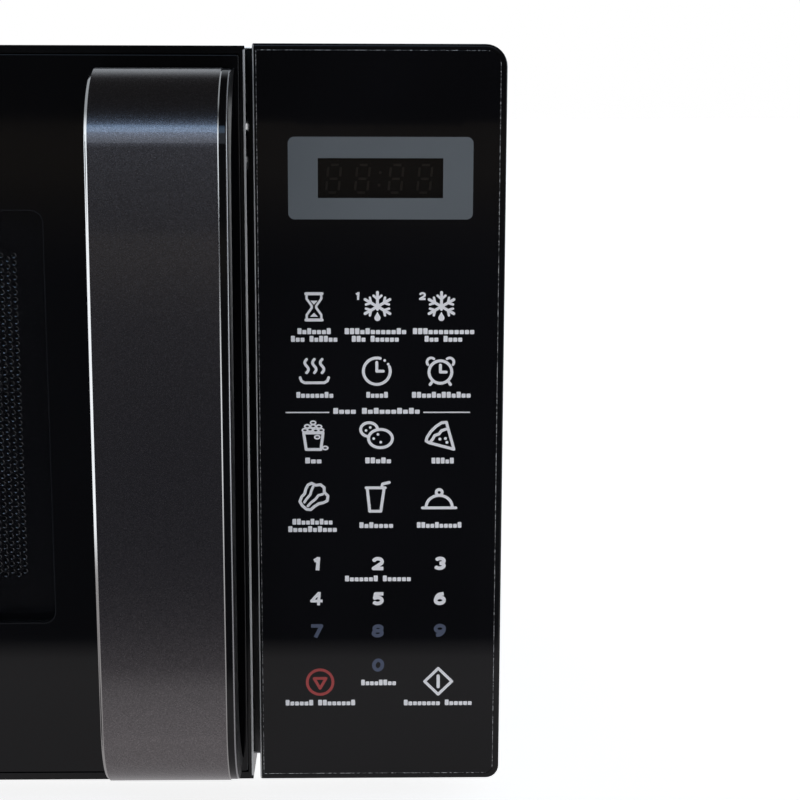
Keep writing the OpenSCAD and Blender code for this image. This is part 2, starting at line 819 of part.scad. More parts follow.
module choke_cover() color("#232427") {
    lo = [hollow_x0 + 0.3, door_z + 3.3];
    hi = [door_r - 3.3, door_top - 3.3];
    in_lo = [window_x0 + 2, window_z0 + 2];
    in_hi = [window_x1 - 2, window_z1 - 2];
    skirt = [1.5, 1.5];
    difference() {
        union() {
            ring_y(cover_y, door_back, lo, hi, in_lo, in_hi);
            ring_y(screen_y + 1.6, door_back, in_lo - skirt, in_hi + skirt, in_lo, in_hi);
        }
        for (z = hook_zs)
            span([latch_x - 1, cover_y - 1, z - nose_drop - 1],
                 [latch_x + latch_t + 1, door_back + 1, z + 13 + latch_lift]);
    }
}

module latch_hook() color("#e4e0d6") {
    bar_y = [plate_y + 4, cover_y - 1];
    arm_h = 11;
    span([latch_x, bar_y[0], hook_zs[0] - 12], [latch_x + latch_t, bar_y[1], hook_zs[1] + 18]);
    for (z = hook_zs) {
        span([latch_x, bar_y[1] - 2, z], [latch_x + latch_t, flange_y + hook_reach, z + arm_h]);
        along_x(latch_x, latch_t) polygon([
            [flange_y + hook_reach - 13, z + 1], [flange_y + hook_reach - 13, z - nose_drop],
            [flange_y + hook_reach - 10, z - nose_drop], [flange_y + hook_reach, z + 4],
            [flange_y + hook_reach, z + 5]]);
    }
}

// Points of one ring of the spring's wire, at angle a along its helix
function wire_ring(a, sides) = let (
    rise = (spring_hi - spring_lo - 2 * wire_r) / (360 * spring_turns),
    z = spring_lo + wire_r + rise * a)
    [for (k = [0:sides - 1]) let (b = 360 * k / sides, q = spring_r + wire_r * cos(b))
        [latch_x + latch_t / 2 + q * cos(a), (plate_y + cover_y) / 2 + q * sin(a), z + wire_r * sin(b)]];

module latch_spring() color("silver") {
    sides = 6;
    steps = 16 * spring_turns;
    points = [for (i = [0:steps]) each wire_ring(360 * spring_turns * i / steps, sides)];
    skin = [for (i = [0:steps - 1], k = [0:sides - 1])
        [i * sides + (k + 1) % sides, (i + 1) * sides + (k + 1) % sides, (i + 1) * sides + k, i * sides + k]];
    ends = [[for (k = [sides - 1:-1:0]) k], [for (k = [0:sides - 1]) steps * sides + k]];
    polyhedron(points, concat(skin, ends));
}

// ---- Handle ----

// Side outline of the handle, drawn in by inset: [distance out of the door, height from the middle]
function handle_side(inset) = let (
    c = [handle_reach - handle_bow - handle_r, handle_half - handle_r],
    r = handle_r - inset,
    bend = 10,
    bow = 14)
    concat(
        [[0, inset - handle_half]],
        [for (i = [0:bend]) let (a = -90 + 90 * i / bend) [c[0] + r * cos(a), -c[1] + r * sin(a)]],
        [for (i = [1:bow - 1]) let (v = -c[1] + 2 * c[1] * i / bow)
            [handle_reach - inset - handle_bow * pow(v / c[1], 2), v]],
        [for (i = [0:bend]) let (a = 90 * i / bend) [c[0] + r * cos(a), c[1] + r * sin(a)]],
        [[0, handle_half - inset]]);

// Depth of the finger gap at height v from the handle's middle
function arch(v) = let (x = max(0, (abs(v) - arch_flat) / (handle_half - 0.8 - arch_flat)))
    grip_gap * (1 - pow(x, arch_power));

module handle_slab(x0, width, inset) {
    along_x(x0, width) translate([front_y, handle_z])
        polygon([for (p = handle_side(inset)) [-p[0], p[1]]]);
}

// The gap that fingers reach into, with a little over the door face
module finger_gap(x0, width) {
    reach = handle_half - 0.8;
    steps = 30;
    along_x(x0, width) translate([front_y, handle_z])
        polygon(concat([[1, -reach]],
            [for (i = [0:steps]) let (v = -reach * cos(180 * i / steps)) [-arch(v), v]], [[1, reach]]));
}

module handle_body() color("#0a0a0c") {
    difference() {
        union() {
            difference() {
                handle_slab(handle_x, handle_w, 0);
                finger_gap(handle_x - 1, handle_w + 2);
            }
            for (end = [-1, 1])
                span([handle_x + (handle_w - post_w) / 2, front_y - 20,
                      handle_z + end * (handle_half - 2 - post_h / 2) - post_h / 2],
                     [handle_x + (handle_w + post_w) / 2, front_y,
                      handle_z + end * (handle_half - 2 - post_h / 2) + post_h / 2]);
        }
        difference() {
            handle_slab(handle_x - 1, strap_w + 1, -1);
            handle_slab(handle_x - 2, handle_w, strap_t);
            span([0, front_y - strap_wrap, 0], [oven_w, 0, oven_w]);
        }
        for (z = screw_zs) rod_y(handle_x + handle_w / 2, z, front_y - 14, 15, screw_r);
    }
}

module handle_strap() color("#343337") {
    difference() {
        handle_slab(handle_x, strap_w, 0);
        handle_slab(handle_x - 1, handle_w, strap_t);
        span([0, front_y - strap_wrap, 0], [oven_w, 0, oven_w]);
    }
}

module handle_screws() color("silver") {
    for (z = screw_zs) {
        rod_y(handle_x + handle_w / 2, z, front_y - 14, 14 + glass_t + 3.1, screw_r);
        rod_y(handle_x + handle_w / 2, z, seat_y + 3, 2, 4);
    }
}

outer_cabinet();
cavity();
rear_panel();
base_plate();
feet();
rear_spacer();
cabinet_screws();
cord_gland();
panel_housing();
membrane_sheet();
display_window();
display_module();
control_board();
board_relays();
membrane_tail();
latch_board();
microswitches();
interlock_lever();
waveguide();
waveguide_cover();
magnetron_yoke();
magnetron_anode();
magnetron_fins();
magnetron_filter();
transformer_core();
transformer_coils();
hv_capacitor();
capacitor_clamp();
hv_diode();
fan_shroud();
fan_motor();
fan_shaft();
fan_impeller();
air_duct();
oven_lamp();
lamp_socket();
thermal_cutouts();
filter_board();
wiring_harness();
turntable_motor();
turntable_coupler();
glass_tray();
roller_ring();
roller_a();
roller_b();
roller_c();
upper_hinge();
lower_hinge();
hinge_pins();
door_frame();
door_glass();
door_plate();
door_screen();
inner_window();
choke_cover();
latch_hook();
latch_spring();
handle_body();
handle_strap();
handle_screws();
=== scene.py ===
"""Looks of a countertop microwave oven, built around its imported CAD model.

Everything is in metres in the CAD's own frame: +Z is up and the door faces -Y. A size thought
of in millimetres is multiplied by MM.
"""
import math
import random

import bmesh
import bpy
from mathutils import Matrix, Vector
from mathutils.geometry import delaunay_2d_cdt


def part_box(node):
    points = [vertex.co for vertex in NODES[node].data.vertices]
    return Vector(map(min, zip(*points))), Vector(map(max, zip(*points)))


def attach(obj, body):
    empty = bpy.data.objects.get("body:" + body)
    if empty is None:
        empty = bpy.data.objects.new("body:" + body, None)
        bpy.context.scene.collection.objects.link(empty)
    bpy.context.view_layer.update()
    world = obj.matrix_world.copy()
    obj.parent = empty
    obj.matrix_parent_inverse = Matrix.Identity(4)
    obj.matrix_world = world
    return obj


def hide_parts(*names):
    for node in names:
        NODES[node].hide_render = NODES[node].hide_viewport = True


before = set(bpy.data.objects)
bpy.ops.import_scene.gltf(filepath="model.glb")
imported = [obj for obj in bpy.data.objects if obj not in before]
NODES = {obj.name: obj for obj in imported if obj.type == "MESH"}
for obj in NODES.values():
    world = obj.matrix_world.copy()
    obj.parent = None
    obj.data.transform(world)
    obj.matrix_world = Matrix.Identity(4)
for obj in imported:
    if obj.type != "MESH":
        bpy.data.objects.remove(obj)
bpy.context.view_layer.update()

MM = 0.001
MATERIALS = {}

# ---------------------------------------------------------------- places taken from the frame

DOOR_LO, DOOR_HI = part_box("door_frame")
PANEL_LO, PANEL_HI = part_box("panel_housing")
FILM_LO, FILM_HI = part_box("membrane_sheet")
LENS_LO, LENS_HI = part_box("display_window")
GLASS_LO, GLASS_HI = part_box("door_glass")
SCREEN_LO, SCREEN_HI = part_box("door_screen")
HANDLE_LO, HANDLE_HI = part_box("handle_body")
FRONT = DOOR_LO.y
DOOR_TOP = DOOR_HI.z


# ---------------------------------------------------------------- materials

def node_of(tree, kind, **values):
    """Adds a shader node and sets its properties and unlinked inputs by name."""
    node = tree.nodes.new(kind)
    for key, value in values.items():
        if hasattr(node, key):
            setattr(node, key, value)
        else:
            node.inputs[key.replace("_", " ")].default_value = value
    return node


def shader_of(mat):
    """A material's node tree and its shader."""
    return mat.node_tree, mat.node_tree.nodes["Principled BSDF"]


def axes(tree, space="Object"):
    """The X, Y and Z of the shaded point, as sockets by name."""
    place = node_of(tree, "ShaderNodeTexCoord")
    split = node_of(tree, "ShaderNodeSeparateXYZ")
    tree.links.new(place.outputs[space], split.inputs[0])
    return split.outputs


def noise_at(tree, size, detail=2.0):
    """Noise whose blotches are about size metres across, in object space."""
    place = node_of(tree, "ShaderNodeTexCoord")
    noise = node_of(tree, "ShaderNodeTexNoise", Scale=1 / size, Detail=detail)
    tree.links.new(place.outputs["Object"], noise.inputs["Vector"])
    return noise.outputs["Fac"]


def spread(tree, noise, low, high):
    """Maps noise of 0.3 to 0.7, which is most of it, onto low to high."""
    ramp = node_of(tree, "ShaderNodeMapRange", From_Min=0.3, From_Max=0.7, To_Min=low, To_Max=high)
    tree.links.new(noise, ramp.inputs["Value"])
    return ramp.outputs["Result"]


def ease(tree, value, low, high):
    """A smooth step of a value from 0 at low to 1 at high."""
    ramp = node_of(tree, "ShaderNodeMapRange", interpolation_type="SMOOTHSTEP", From_Min=low, From_Max=high)
    tree.links.new(value, ramp.inputs["Value"])
    return ramp.outputs["Result"]


def maths(tree, operation, a, b):
    """Joins two values, each a socket or a number, by a maths node."""
    node = node_of(tree, "ShaderNodeMath", operation=operation)
    for socket, value in zip(node.inputs, (a, b)):
        if isinstance(value, float):
            socket.default_value = value
        else:
            tree.links.new(value, socket)
    return node.outputs[0]


def times(tree, a, b):
    return maths(tree, "MULTIPLY", a, b)


def mix_colors(tree, factor):
    """A mix of two colours by a factor: the sockets of its two colours and of its result."""
    mix = node_of(tree, "ShaderNodeMix", data_type="RGBA")
    tree.links.new(factor, mix.inputs["Factor"])
    low, high = (socket for socket in mix.inputs if socket.type == "RGBA")
    return low, high, next(socket for socket in mix.outputs if socket.type == "RGBA")


def tint(tree, factor, dark, light):
    """The mix of two fixed colours."""
    low, high, result = mix_colors(tree, factor)
    low.default_value = (*dark, 1)
    high.default_value = (*light, 1)
    return result


def roughen(mat, height, strength):
    """Bumps a material by a height from 0 to 1, which stands for 0.02 mm."""
    tree, shader = shader_of(mat)
    lift = node_of(tree, "ShaderNodeBump", Strength=strength, Distance=0.02 * MM)
    tree.links.new(height, lift.inputs["Height"])
    tree.links.new(lift.outputs["Normal"], shader.inputs["Normal"])


def surface(name, color, rough, metal=0.0, ior=1.5, coat=0.0, coat_rough=0.03, vary=0.12,
            blotch=0.03, grain=0.0004, bump=0.0, rough_vary=0.15, see=0.0, alpha=1.0, specular=0.5):
    """Adds a procedural material whose colour drifts slowly. A fine grain varies its roughness
    and can bump it."""
    mat = MATERIALS[name] = bpy.data.materials.new(name)
    mat.use_nodes = True
    tree, shader = shader_of(mat)
    fine = noise_at(tree, grain, detail=3.0)
    drift = spread(tree, noise_at(tree, blotch), 0.0, 1.0)
    dark = [c * (1 - vary) for c in color]
    light = [min(1.0, c * (1 + vary)) for c in color]
    tree.links.new(tint(tree, drift, dark, light), shader.inputs["Base Color"])
    swing = rough * rough_vary
    tree.links.new(spread(tree, fine, rough - swing, rough + swing), shader.inputs["Roughness"])
    shader.inputs["Metallic"].default_value = metal
    shader.inputs["IOR"].default_value = ior
    shader.inputs["Specular IOR Level"].default_value = specular
    shader.inputs["Coat Weight"].default_value = coat
    shader.inputs["Coat Roughness"].default_value = coat_rough
    shader.inputs["Transmission Weight"].default_value = see
    shader.inputs["Alpha"].default_value = alpha
    if bump:
        roughen(mat, fine, bump)
    return mat


def flake_paint(name, color, flake, size=0.00018):
    """Dark metallic lacquer: fine flakes of two greys under a smooth clear coat."""
    mat = surface(name, color, 0.28, metal=1.0, coat=1.0, coat_rough=0.05, vary=0.06, blotch=0.02)
    tree, shader = shader_of(mat)
    place = node_of(tree, "ShaderNodeTexCoord")
    cells = node_of(tree, "ShaderNodeTexVoronoi", Scale=1 / size)
    tree.links.new(place.outputs["Object"], cells.inputs["Vector"])
    chance = node_of(tree, "ShaderNodeSeparateColor")
    tree.links.new(cells.outputs["Color"], chance.inputs["Color"])
    few_bright = maths(tree, "POWER", chance.outputs["Red"], 3.0)
    tree.links.new(tint(tree, few_bright, color, flake), shader.inputs["Base Color"])
    roughen(mat, chance.outputs["Green"], 0.25)


def painted_glint_edge(name, dark, light, size=0.0006):
    """A cut film edge whose colour has pale specks: painted glints of light."""
    mat = surface(name, dark, 0.35, vary=0.2)
    tree, shader = shader_of(mat)
    specks = spread(tree, noise_at(tree, size, detail=1.0), -0.6, 1.2)
    tree.links.new(tint(tree, specks, dark, light), shader.inputs["Base Color"])


def dark_front_and_painted_shade(mat, start, color):
    """Paints the part of a material in front of the plane Y = start in a dark colour, such as a flange."""
    tree, shader = shader_of(mat)
    inside = shader.inputs["Base Color"].links[0].from_socket
    low, high, result = mix_colors(tree, ease(tree, axes(tree)["Y"], start + 0.3 * MM, start))
    tree.links.new(inside, low)
    high.default_value = (*color, 1)
    tree.links.new(result, shader.inputs["Base Color"])


def painted_side_sheen(mat, low, high, top, dark, light):
    """A painted sheen: the handle side's colour turns light grey from low to high, ends at the top
    and fades towards the front, in place of light falling on that side."""
    tree, shader = shader_of(mat)
    place = axes(tree)
    rise = ease(tree, place["Z"], low, high)
    end = ease(tree, place["Z"], top + 4 * MM, top - 4 * MM)
    near = ease(tree, place["Y"], FRONT - 35 * MM, FRONT - 25 * MM)
    level = times(tree, times(tree, rise, end), near)
    tree.links.new(tint(tree, level, dark, light), shader.inputs["Base Color"])


GLOSS = dict(ior=1.42, vary=0.2, rough_vary=0.25, blotch=0.05, grain=0.002)
surface("case_paint", (0.014, 0.014, 0.015), 0.5, bump=0.5, grain=0.0006, specular=0.3)
surface("cavity_enamel", (0.50, 0.50, 0.48), 0.38, bump=0.1, vary=0.05, coat=0.3)
surface("zinc", (0.42, 0.43, 0.44), 0.4, metal=0.9, blotch=0.008, vary=0.12, bump=0.05)
surface("rubber", (0.02, 0.02, 0.02), 0.75, bump=0.4, grain=0.0005)
surface("black_plastic", (0.022, 0.022, 0.023), 0.5, bump=0.35, grain=0.0005)
surface("gloss_black", (0.0035, 0.0035, 0.004), 0.07, **GLOSS)
surface("film", (0.0028, 0.0028, 0.0036), 0.035, **GLOSS)
surface("black_print", (0.0022, 0.0022, 0.0028), 0.05, **GLOSS)
surface("print_line", (0.009, 0.010, 0.013), 0.2, vary=0.3)
flake_paint("strap", (0.150, 0.138, 0.142), (0.30, 0.276, 0.284))
surface("polished_dark", (0.42, 0.42, 0.43), 0.16, metal=0.9, vary=0.05)
surface("polished", (0.56, 0.55, 0.54), 0.12, metal=1.0, vary=0.05)
# The film's cut edge: pale specks painted in as glints.
painted_glint_edge("film_edge_painted_glints", (0.012, 0.012, 0.014), (0.55, 0.55, 0.56))
surface("legend", (0.94, 0.92, 0.93), 0.45, vary=0.05, bump=0.1)
surface("legend_dim", (0.075, 0.095, 0.16), 0.45, vary=0.15, bump=0.1)
surface("legend_red", (0.46, 0.05, 0.048), 0.45, vary=0.1, bump=0.1)
surface("grey_print", (0.135, 0.150, 0.162), 0.38, vary=0.04, bump=0.12, grain=0.0003)
surface("lens", (0.006, 0.005, 0.0045), 0.06, ior=1.45, alpha=0.55, vary=0.1)
surface("display_back", (0.010, 0.0085, 0.007), 0.4, vary=0.2)
surface("segment", (0.055, 0.040, 0.026), 0.45, vary=0.2)
surface("screen", (0.008, 0.008, 0.010), 0.22, ior=1.5)
surface("hole_rim", (0.42, 0.43, 0.45), 0.26, metal=0.9, vary=0.1)
# Light grey for narrow edges of black parts: a painted highlight.
surface("edge_painted_highlight", (0.55, 0.545, 0.54), 0.3, ior=1.7, vary=0.1)
# A lighter grey for the glass's right chamfer: a painted highlight.
surface("glass_edge_painted_highlight", (0.05, 0.05, 0.052), 0.15, vary=0.1)
# The handle side's near-black colour, which later gets a painted sheen of light grey.
surface("handle_side", (0.004, 0.004, 0.0045), 0.3)
surface("window_glass", (0.002, 0.002, 0.003), 0.03, ior=1.42, alpha=0.25, vary=0.1)
surface("inner_film", (0.006, 0.006, 0.007), 0.3, ior=1.25, alpha=0.3)
surface("cover", (0.03, 0.03, 0.032), 0.45, bump=0.25, grain=0.0006)
surface("cream", (0.62, 0.59, 0.52), 0.4, vary=0.05, bump=0.1)
surface("steel", (0.50, 0.50, 0.50), 0.3, metal=1.0, vary=0.1, blotch=0.004)
surface("board", (0.025, 0.11, 0.045), 0.35, coat=0.5, vary=0.2, blotch=0.004)
surface("component", (0.55, 0.32, 0.06), 0.4, vary=0.1)
surface("dark_part", (0.02, 0.02, 0.024), 0.45, bump=0.2)
surface("tail_film", (0.5, 0.52, 0.55), 0.25, vary=0.1)
surface("mica", (0.42, 0.36, 0.27), 0.5, vary=0.25, blotch=0.006, bump=0.2)
surface("copper", (0.55, 0.22, 0.10), 0.3, metal=0.9, coat=0.5, blotch=0.003, vary=0.2)
surface("core", (0.10, 0.085, 0.075), 0.5, metal=0.5, blotch=0.006, vary=0.3, bump=0.2)
surface("aluminium", (0.75, 0.75, 0.76), 0.3, metal=1.0, vary=0.06)
surface("lamp_glass", (0.95, 0.93, 0.88), 0.05, see=0.9, vary=0.03)
surface("ceramic", (0.72, 0.71, 0.67), 0.5, vary=0.06)
surface("red_lead", (0.35, 0.02, 0.02), 0.4, vary=0.1)
surface("tray_glass", (0.82, 0.93, 0.92), 0.04, ior=1.5, see=0.92, vary=0.03)

# The cavity's front flange is near black: partly its own dark paint, partly painted shade for the deep gap
# between door and panel where it shows.
FLANGE_Y = -105 * MM
dark_front_and_painted_shade(MATERIALS["cavity_enamel"], FLANGE_Y, (0.012, 0.012, 0.013))
# Painted sheen: light grey on the handle's side, by height and depth.
painted_side_sheen(MATERIALS["handle_side"], low=0.125, high=0.232, top=0.241, dark=(0.004, 0.004, 0.0045),
           light=(0.42, 0.42, 0.42))


# ---------------------------------------------------------------- mesh helpers

def outline(x0, z0, x1, z1, radii, inset=0.0, steps=8):
    """A rectangle drawn in by inset, with its own radius at each corner: lower left, lower
    right, upper right, upper left. It always has the same number of points."""
    x0, z0, x1, z1 = x0 + inset, z0 + inset, x1 - inset, z1 - inset
    corners = [(x0, z0, 1, 1, 180), (x1, z0, -1, 1, 270), (x1, z1, -1, -1, 0), (x0, z1, 1, -1, 90)]
    points = []
    for (x, z, dx, dz, start), radius in zip(corners, radii):
        r = max(radius - inset, 0.02 * MM)
        for i in range(steps + 1):
            a = math.radians(start + 90 * i / steps)
            points.append((x + dx * r + r * math.cos(a), z + dz * r + r * math.sin(a)))
    return points


def ring_at(points, y):
    return [(x, y, z) for x, z in points]


def rounded_edge(shape, y, radius, steps=4):
    """Rings from the flat face at y back round the edge; shape(inset) gives an outline."""
    rings = []
    for i in range(steps + 1):
        a = math.pi / 2 * i / steps
        rings.append(ring_at(shape(radius * (1 - math.sin(a))), y + radius * (1 - math.cos(a))))
    return rings


def loft(rings, wrap=False):
    """Quads between rings of equal length; wrap joins the last ring to the first, or else both
    ends are capped."""
    n, k = len(rings[0]), len(rings)
    verts = [p for ring in rings for p in ring]
    faces = []
    for i in range(k if wrap else k - 1):
        a, b = i * n, (i + 1) % k * n
        faces += [(a + j, a + (j + 1) % n, b + (j + 1) % n, b + j) for j in range(n)]
    if not wrap:
        faces += [tuple(range(n))[::-1], tuple((k - 1) * n + j for j in range(n))]
    return verts, faces


def merge(*parts):
    """Joins several (verts, faces) into one."""
    verts, faces = [], []
    for part_verts, part_faces in parts:
        base = len(verts)
        verts += list(part_verts)
        faces += [tuple(base + i for i in face) for face in part_faces]
    return verts, faces


def edges_of(faces):
    """The directed edges of all faces, each once and in order."""
    return dict.fromkeys((face[i], face[(i + 1) % len(face)]) for face in faces for i in range(len(face)))


def shade_flat_faces(obj):
    """Lets large flat faces keep their shading next to rounded edges."""
    weighted = obj.modifiers.new("shading", "WEIGHTED_NORMAL")
    weighted.keep_sharp = True
    weighted.weight = 100


def piece(name, mesh, body, materials, replaces=(), pick=None, sharp=35):
    """Makes a closed piece, shades it smooth except at edges sharper than so many degrees and
    puts it on its body. pick(face) gives the index of a face's material."""
    data = bpy.data.meshes.new(name)
    data.from_pydata(mesh[0], [], mesh[1])
    for mat in materials:
        data.materials.append(MATERIALS[mat])
    if pick:
        for face in data.polygons:
            face.material_index = pick(face)
    obj = bpy.data.objects.new(name, data)
    bpy.context.scene.collection.objects.link(obj)
    edit = bmesh.new()
    edit.from_mesh(data)
    bmesh.ops.remove_doubles(edit, verts=edit.verts, dist=1e-7)
    bmesh.ops.recalc_face_normals(edit, faces=edit.faces)
    edit.to_mesh(data)
    edit.free()
    for face in data.polygons:
        face.use_smooth = True
    data.set_sharp_from_angle(angle=math.radians(sharp))
    shade_flat_faces(obj)
    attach(obj, body)
    if replaces:
        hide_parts(*replaces)


def dress(node, material, bevel):
    """Gives a CAD node its material, and rounds its edges with modifiers if bevel isn't 0."""
    obj = NODES[node]
    obj.data.materials.clear()
    obj.data.materials.append(MATERIALS[material])
    if bevel:
        weld = obj.modifiers.new("weld", "WELD")
        weld.merge_threshold = 1e-6
        flat = obj.modifiers.new("flat", "DECIMATE")
        flat.decimate_type = "DISSOLVE"
        flat.angle_limit = math.radians(0.5)
        edge = obj.modifiers.new("edges", "BEVEL")
        edge.width = bevel
        edge.segments = 2
        edge.limit_method = "ANGLE"
        edge.angle_limit = math.radians(40)
        edge.harden_normals = True
        shade_flat_faces(obj)


# ---------------------------------------------------------------- camera, light and floor

ROOM = (0.036, 0.036, 0.038)
SCREEN_LIGHT = 1.8
SCREEN_COLOR = (0.86 * SCREEN_LIGHT, 0.93 * SCREEN_LIGHT, SCREEN_LIGHT)
SKY_LIGHT = 0.5
WHITE = (1, 1, 1, 1)

FLOOR_GLOW = 0.85
TABLE_DEPTH = 0.172
TABLE = (0.50, 0.485, 0.50)
NEAR_TABLE = (0.38, 0.37, 0.38)
ROOM_FLOOR = (0.055, 0.057, 0.068)
WALL = (0.165, 0.145, 0.125)
SIDE_CARD = (1.62, 1.70, 1.8)


def make_camera():
    """A viewpoint in front of the panel, level with the door's top and looking down a little."""
    yaw, pitch, roll = math.radians(1.21), math.radians(10.85), math.radians(0.17)
    forward = Vector((math.sin(yaw) * math.cos(pitch), math.cos(yaw) * math.cos(pitch), -math.sin(pitch)))
    level = Vector((math.cos(yaw), -math.sin(yaw), 0))
    upright = level.cross(forward)
    right = level * math.cos(roll) + upright * math.sin(roll)
    up = upright * math.cos(roll) - level * math.sin(roll)
    eye = PANEL_LO.x + 34.3 * MM, FRONT - 589.1 * MM, DOOR_TOP
    data = bpy.data.cameras.new("camera")
    data.sensor_width = 36
    data.lens = 83.1
    data.clip_start, data.clip_end = 0.05, 50
    camera = bpy.data.objects.new("camera", data)
    turn = Matrix((right, up, -forward)).transposed().to_4x4()
    camera.matrix_world = Matrix.Translation(eye) @ turn
    bpy.context.scene.collection.objects.link(camera)
    bpy.context.scene.camera = camera


def soft_box(name, offset, width, height, power, color):
    """A rectangular light, placed from the handle's middle and turned to it."""
    target = Vector((HANDLE_HI.x, FRONT, 0.15))
    data = bpy.data.lights.new(name, "AREA")
    data.shape = "RECTANGLE"
    data.size, data.size_y = width, height
    data.energy = power
    data.color = color
    light = bpy.data.objects.new(name, data)
    light.location = target + Vector(offset)
    light.rotation_mode = "QUATERNION"
    light.rotation_quaternion = (target - light.location).to_track_quat("-Z", "Y")
    bpy.context.scene.collection.objects.link(light)


def make_world():
    """A white studio: low screens beside and behind the oven, a dimmer sky behind it and a dark
    room in front. The camera itself sees white."""
    world = bpy.data.worlds.new("studio")
    bpy.context.scene.world = world
    world.use_nodes = True
    tree = world.node_tree
    toward = axes(tree, "Generated")
    beside = ease(tree, toward["Y"], -0.45, -0.12)
    low = ease(tree, toward["Z"], 0.48, 0.16)
    screens = times(tree, beside, low)
    behind = ease(tree, toward["Y"], -0.05, 0.25)
    sky = times(tree, behind, ease(tree, toward["Z"], 0.88, 0.55))
    glow = times(tree, sky, SKY_LIGHT / SCREEN_LIGHT)
    studio = tint(tree, maths(tree, "MAXIMUM", screens, glow), ROOM, SCREEN_COLOR)
    rays = node_of(tree, "ShaderNodeLightPath")
    others, camera, result = mix_colors(tree, rays.outputs["Is Camera Ray"])
    tree.links.new(studio, others)
    camera.default_value = WHITE
    tree.links.new(result, tree.nodes["Background"].inputs["Color"])


def stage_plane(name, z, material):
    size = 6.0
    corners = [(-size, -size, z), (size, -size, z), (size, size, z), (-size, size, z)]
    data = bpy.data.meshes.new(name)
    data.from_pydata(corners, [], [(0, 1, 2, 3)])
    data.materials.append(material)
    plane = bpy.data.objects.new(name, data)
    bpy.context.scene.collection.objects.link(plane)
    return plane


def make_floor():
    """The pale floor that everything but gloss sees."""
    mat = surface("floor", (0.86, 0.86, 0.86), 0.7, vary=0.01, bump=0.05)
    shader = shader_of(mat)[1]
    shader.inputs["Emission Color"].default_value = WHITE
    shader.inputs["Emission Strength"].default_value = FLOOR_GLOW
    stage_plane("floor", 0.0, mat).visible_glossy = False


def depth_colors(tree, toward):
    """The card's colours from the far wall, over the dim floor and the table, to the back."""
    far, near, blur = -6.0, 1.0, 0.003
    edge = FRONT - TABLE_DEPTH
    stops = [(-3.4, WALL), (-1.7, ROOM_FLOOR), (edge - blur, ROOM_FLOOR), (edge + blur, TABLE),
             (FRONT + 0.05, NEAR_TABLE), (FRONT + 0.45, (1, 1, 1))]
    along = node_of(tree, "ShaderNodeMapRange", From_Min=far, From_Max=near)
    tree.links.new(toward["Y"], along.inputs["Value"])
    ramp = node_of(tree, "ShaderNodeValToRGB")
    tree.links.new(along.outputs["Result"], ramp.inputs["Fac"])
    elements = ramp.color_ramp.elements
    while len(elements) < len(stops):
        elements.new(0.5)
    for element, (y, color) in zip(elements, stops):
        element.position = (y - far) / (near - far)
        element.color = (*color, 1)
    return ramp.outputs["Color"]


def make_table_card():
    """A card that only gloss sees: a pale table top that ends in front of the oven, a dim floor
    beyond it, a warm wall far away, and bright ground on both sides."""
    mat = bpy.data.materials.new("table_card")
    mat.use_nodes = True
    tree, shader = shader_of(mat)
    tree.nodes.remove(shader)
    glow = node_of(tree, "ShaderNodeEmission")
    tree.links.new(glow.outputs[0], tree.nodes["Material Output"].inputs["Surface"])
    place = axes(tree)
    left = ease(tree, place["X"], DOOR_LO.x + 0.02, DOOR_LO.x - 0.10)
    right = ease(tree, place["X"], PANEL_HI.x - 0.02, PANEL_HI.x + 0.9)
    near = ease(tree, place["Y"], FRONT - 0.5, FRONT - 0.1)
    middle, sides, result = mix_colors(tree, times(tree, maths(tree, "MAXIMUM", left, right), near))
    tree.links.new(depth_colors(tree, place), middle)
    sides.default_value = (*SIDE_CARD, 1)
    tree.links.new(result, glow.inputs["Color"])
    card = stage_plane("table_card", -0.0002, mat)
    card.visible_camera = card.visible_diffuse = card.visible_transmission = card.visible_shadow = False


make_camera()
make_world()
make_floor()
make_table_card()
soft_box("window", (-0.3, -1.7, 1.01), 1.0, 0.36, 2.1, (0.38, 0.64, 1.0))
soft_box("window_glow", (0, -1.9, 0.75), 1.3, 0.8, 2.6, (0.75, 0.85, 1.0))
bpy.context.scene.view_settings.view_transform = "Standard"


# ---------------------------------------------------------------- control panel

PANEL_RADII = [0.6 * MM, 4.3 * MM, 7 * MM, 0.6 * MM]
FILM_RADII = [0.6 * MM, 2.8 * MM, 4.6 * MM, 0.6 * MM]
SQUARE = [0.05 * MM] * 4
RECESS_Y = FRONT + 0.5 * MM
FILM_Y = FRONT - 0.12 * MM


def panel_shape(inset):
    return outline(PANEL_LO.x, PANEL_LO.z, PANEL_HI.x, PANEL_HI.z, PANEL_RADII, inset)


def film_shape(inset):
    return outline(FILM_LO.x, FILM_LO.z, FILM_HI.x, FILM_HI.z, FILM_RADII, inset)


def lens_shape(inset):
    return outline(LENS_LO.x, LENS_LO.z, LENS_HI.x, LENS_HI.z, SQUARE, inset)


def make_panel_shell():
    """The hollow housing, with a shallow recess for the film and an opening for the display."""
    wall, edge, play = 2.5 * MM, 0.8 * MM, 0.15 * MM
    rings = rounded_edge(panel_shape, FRONT, edge)
    rings += [ring_at(panel_shape(0), PANEL_HI.y), ring_at(panel_shape(wall), PANEL_HI.y),
              ring_at(panel_shape(wall), FRONT + wall), ring_at(lens_shape(0), FRONT + wall),
              ring_at(lens_shape(0), RECESS_Y), ring_at(film_shape(-play), RECESS_Y),
              ring_at(film_shape(-play), FRONT)]

    # The housing's rounded left edge takes the painted highlight.
    def left_edge(face):
        return 1 if face.center.x < PANEL_LO.x + edge and 0.3 < abs(face.normal.x) < 0.97 else 0

    piece("panel_shell", loft(rings, wrap=True), "case", ["gloss_black", "edge_painted_highlight"],
          ["panel_housing"], pick=left_edge)


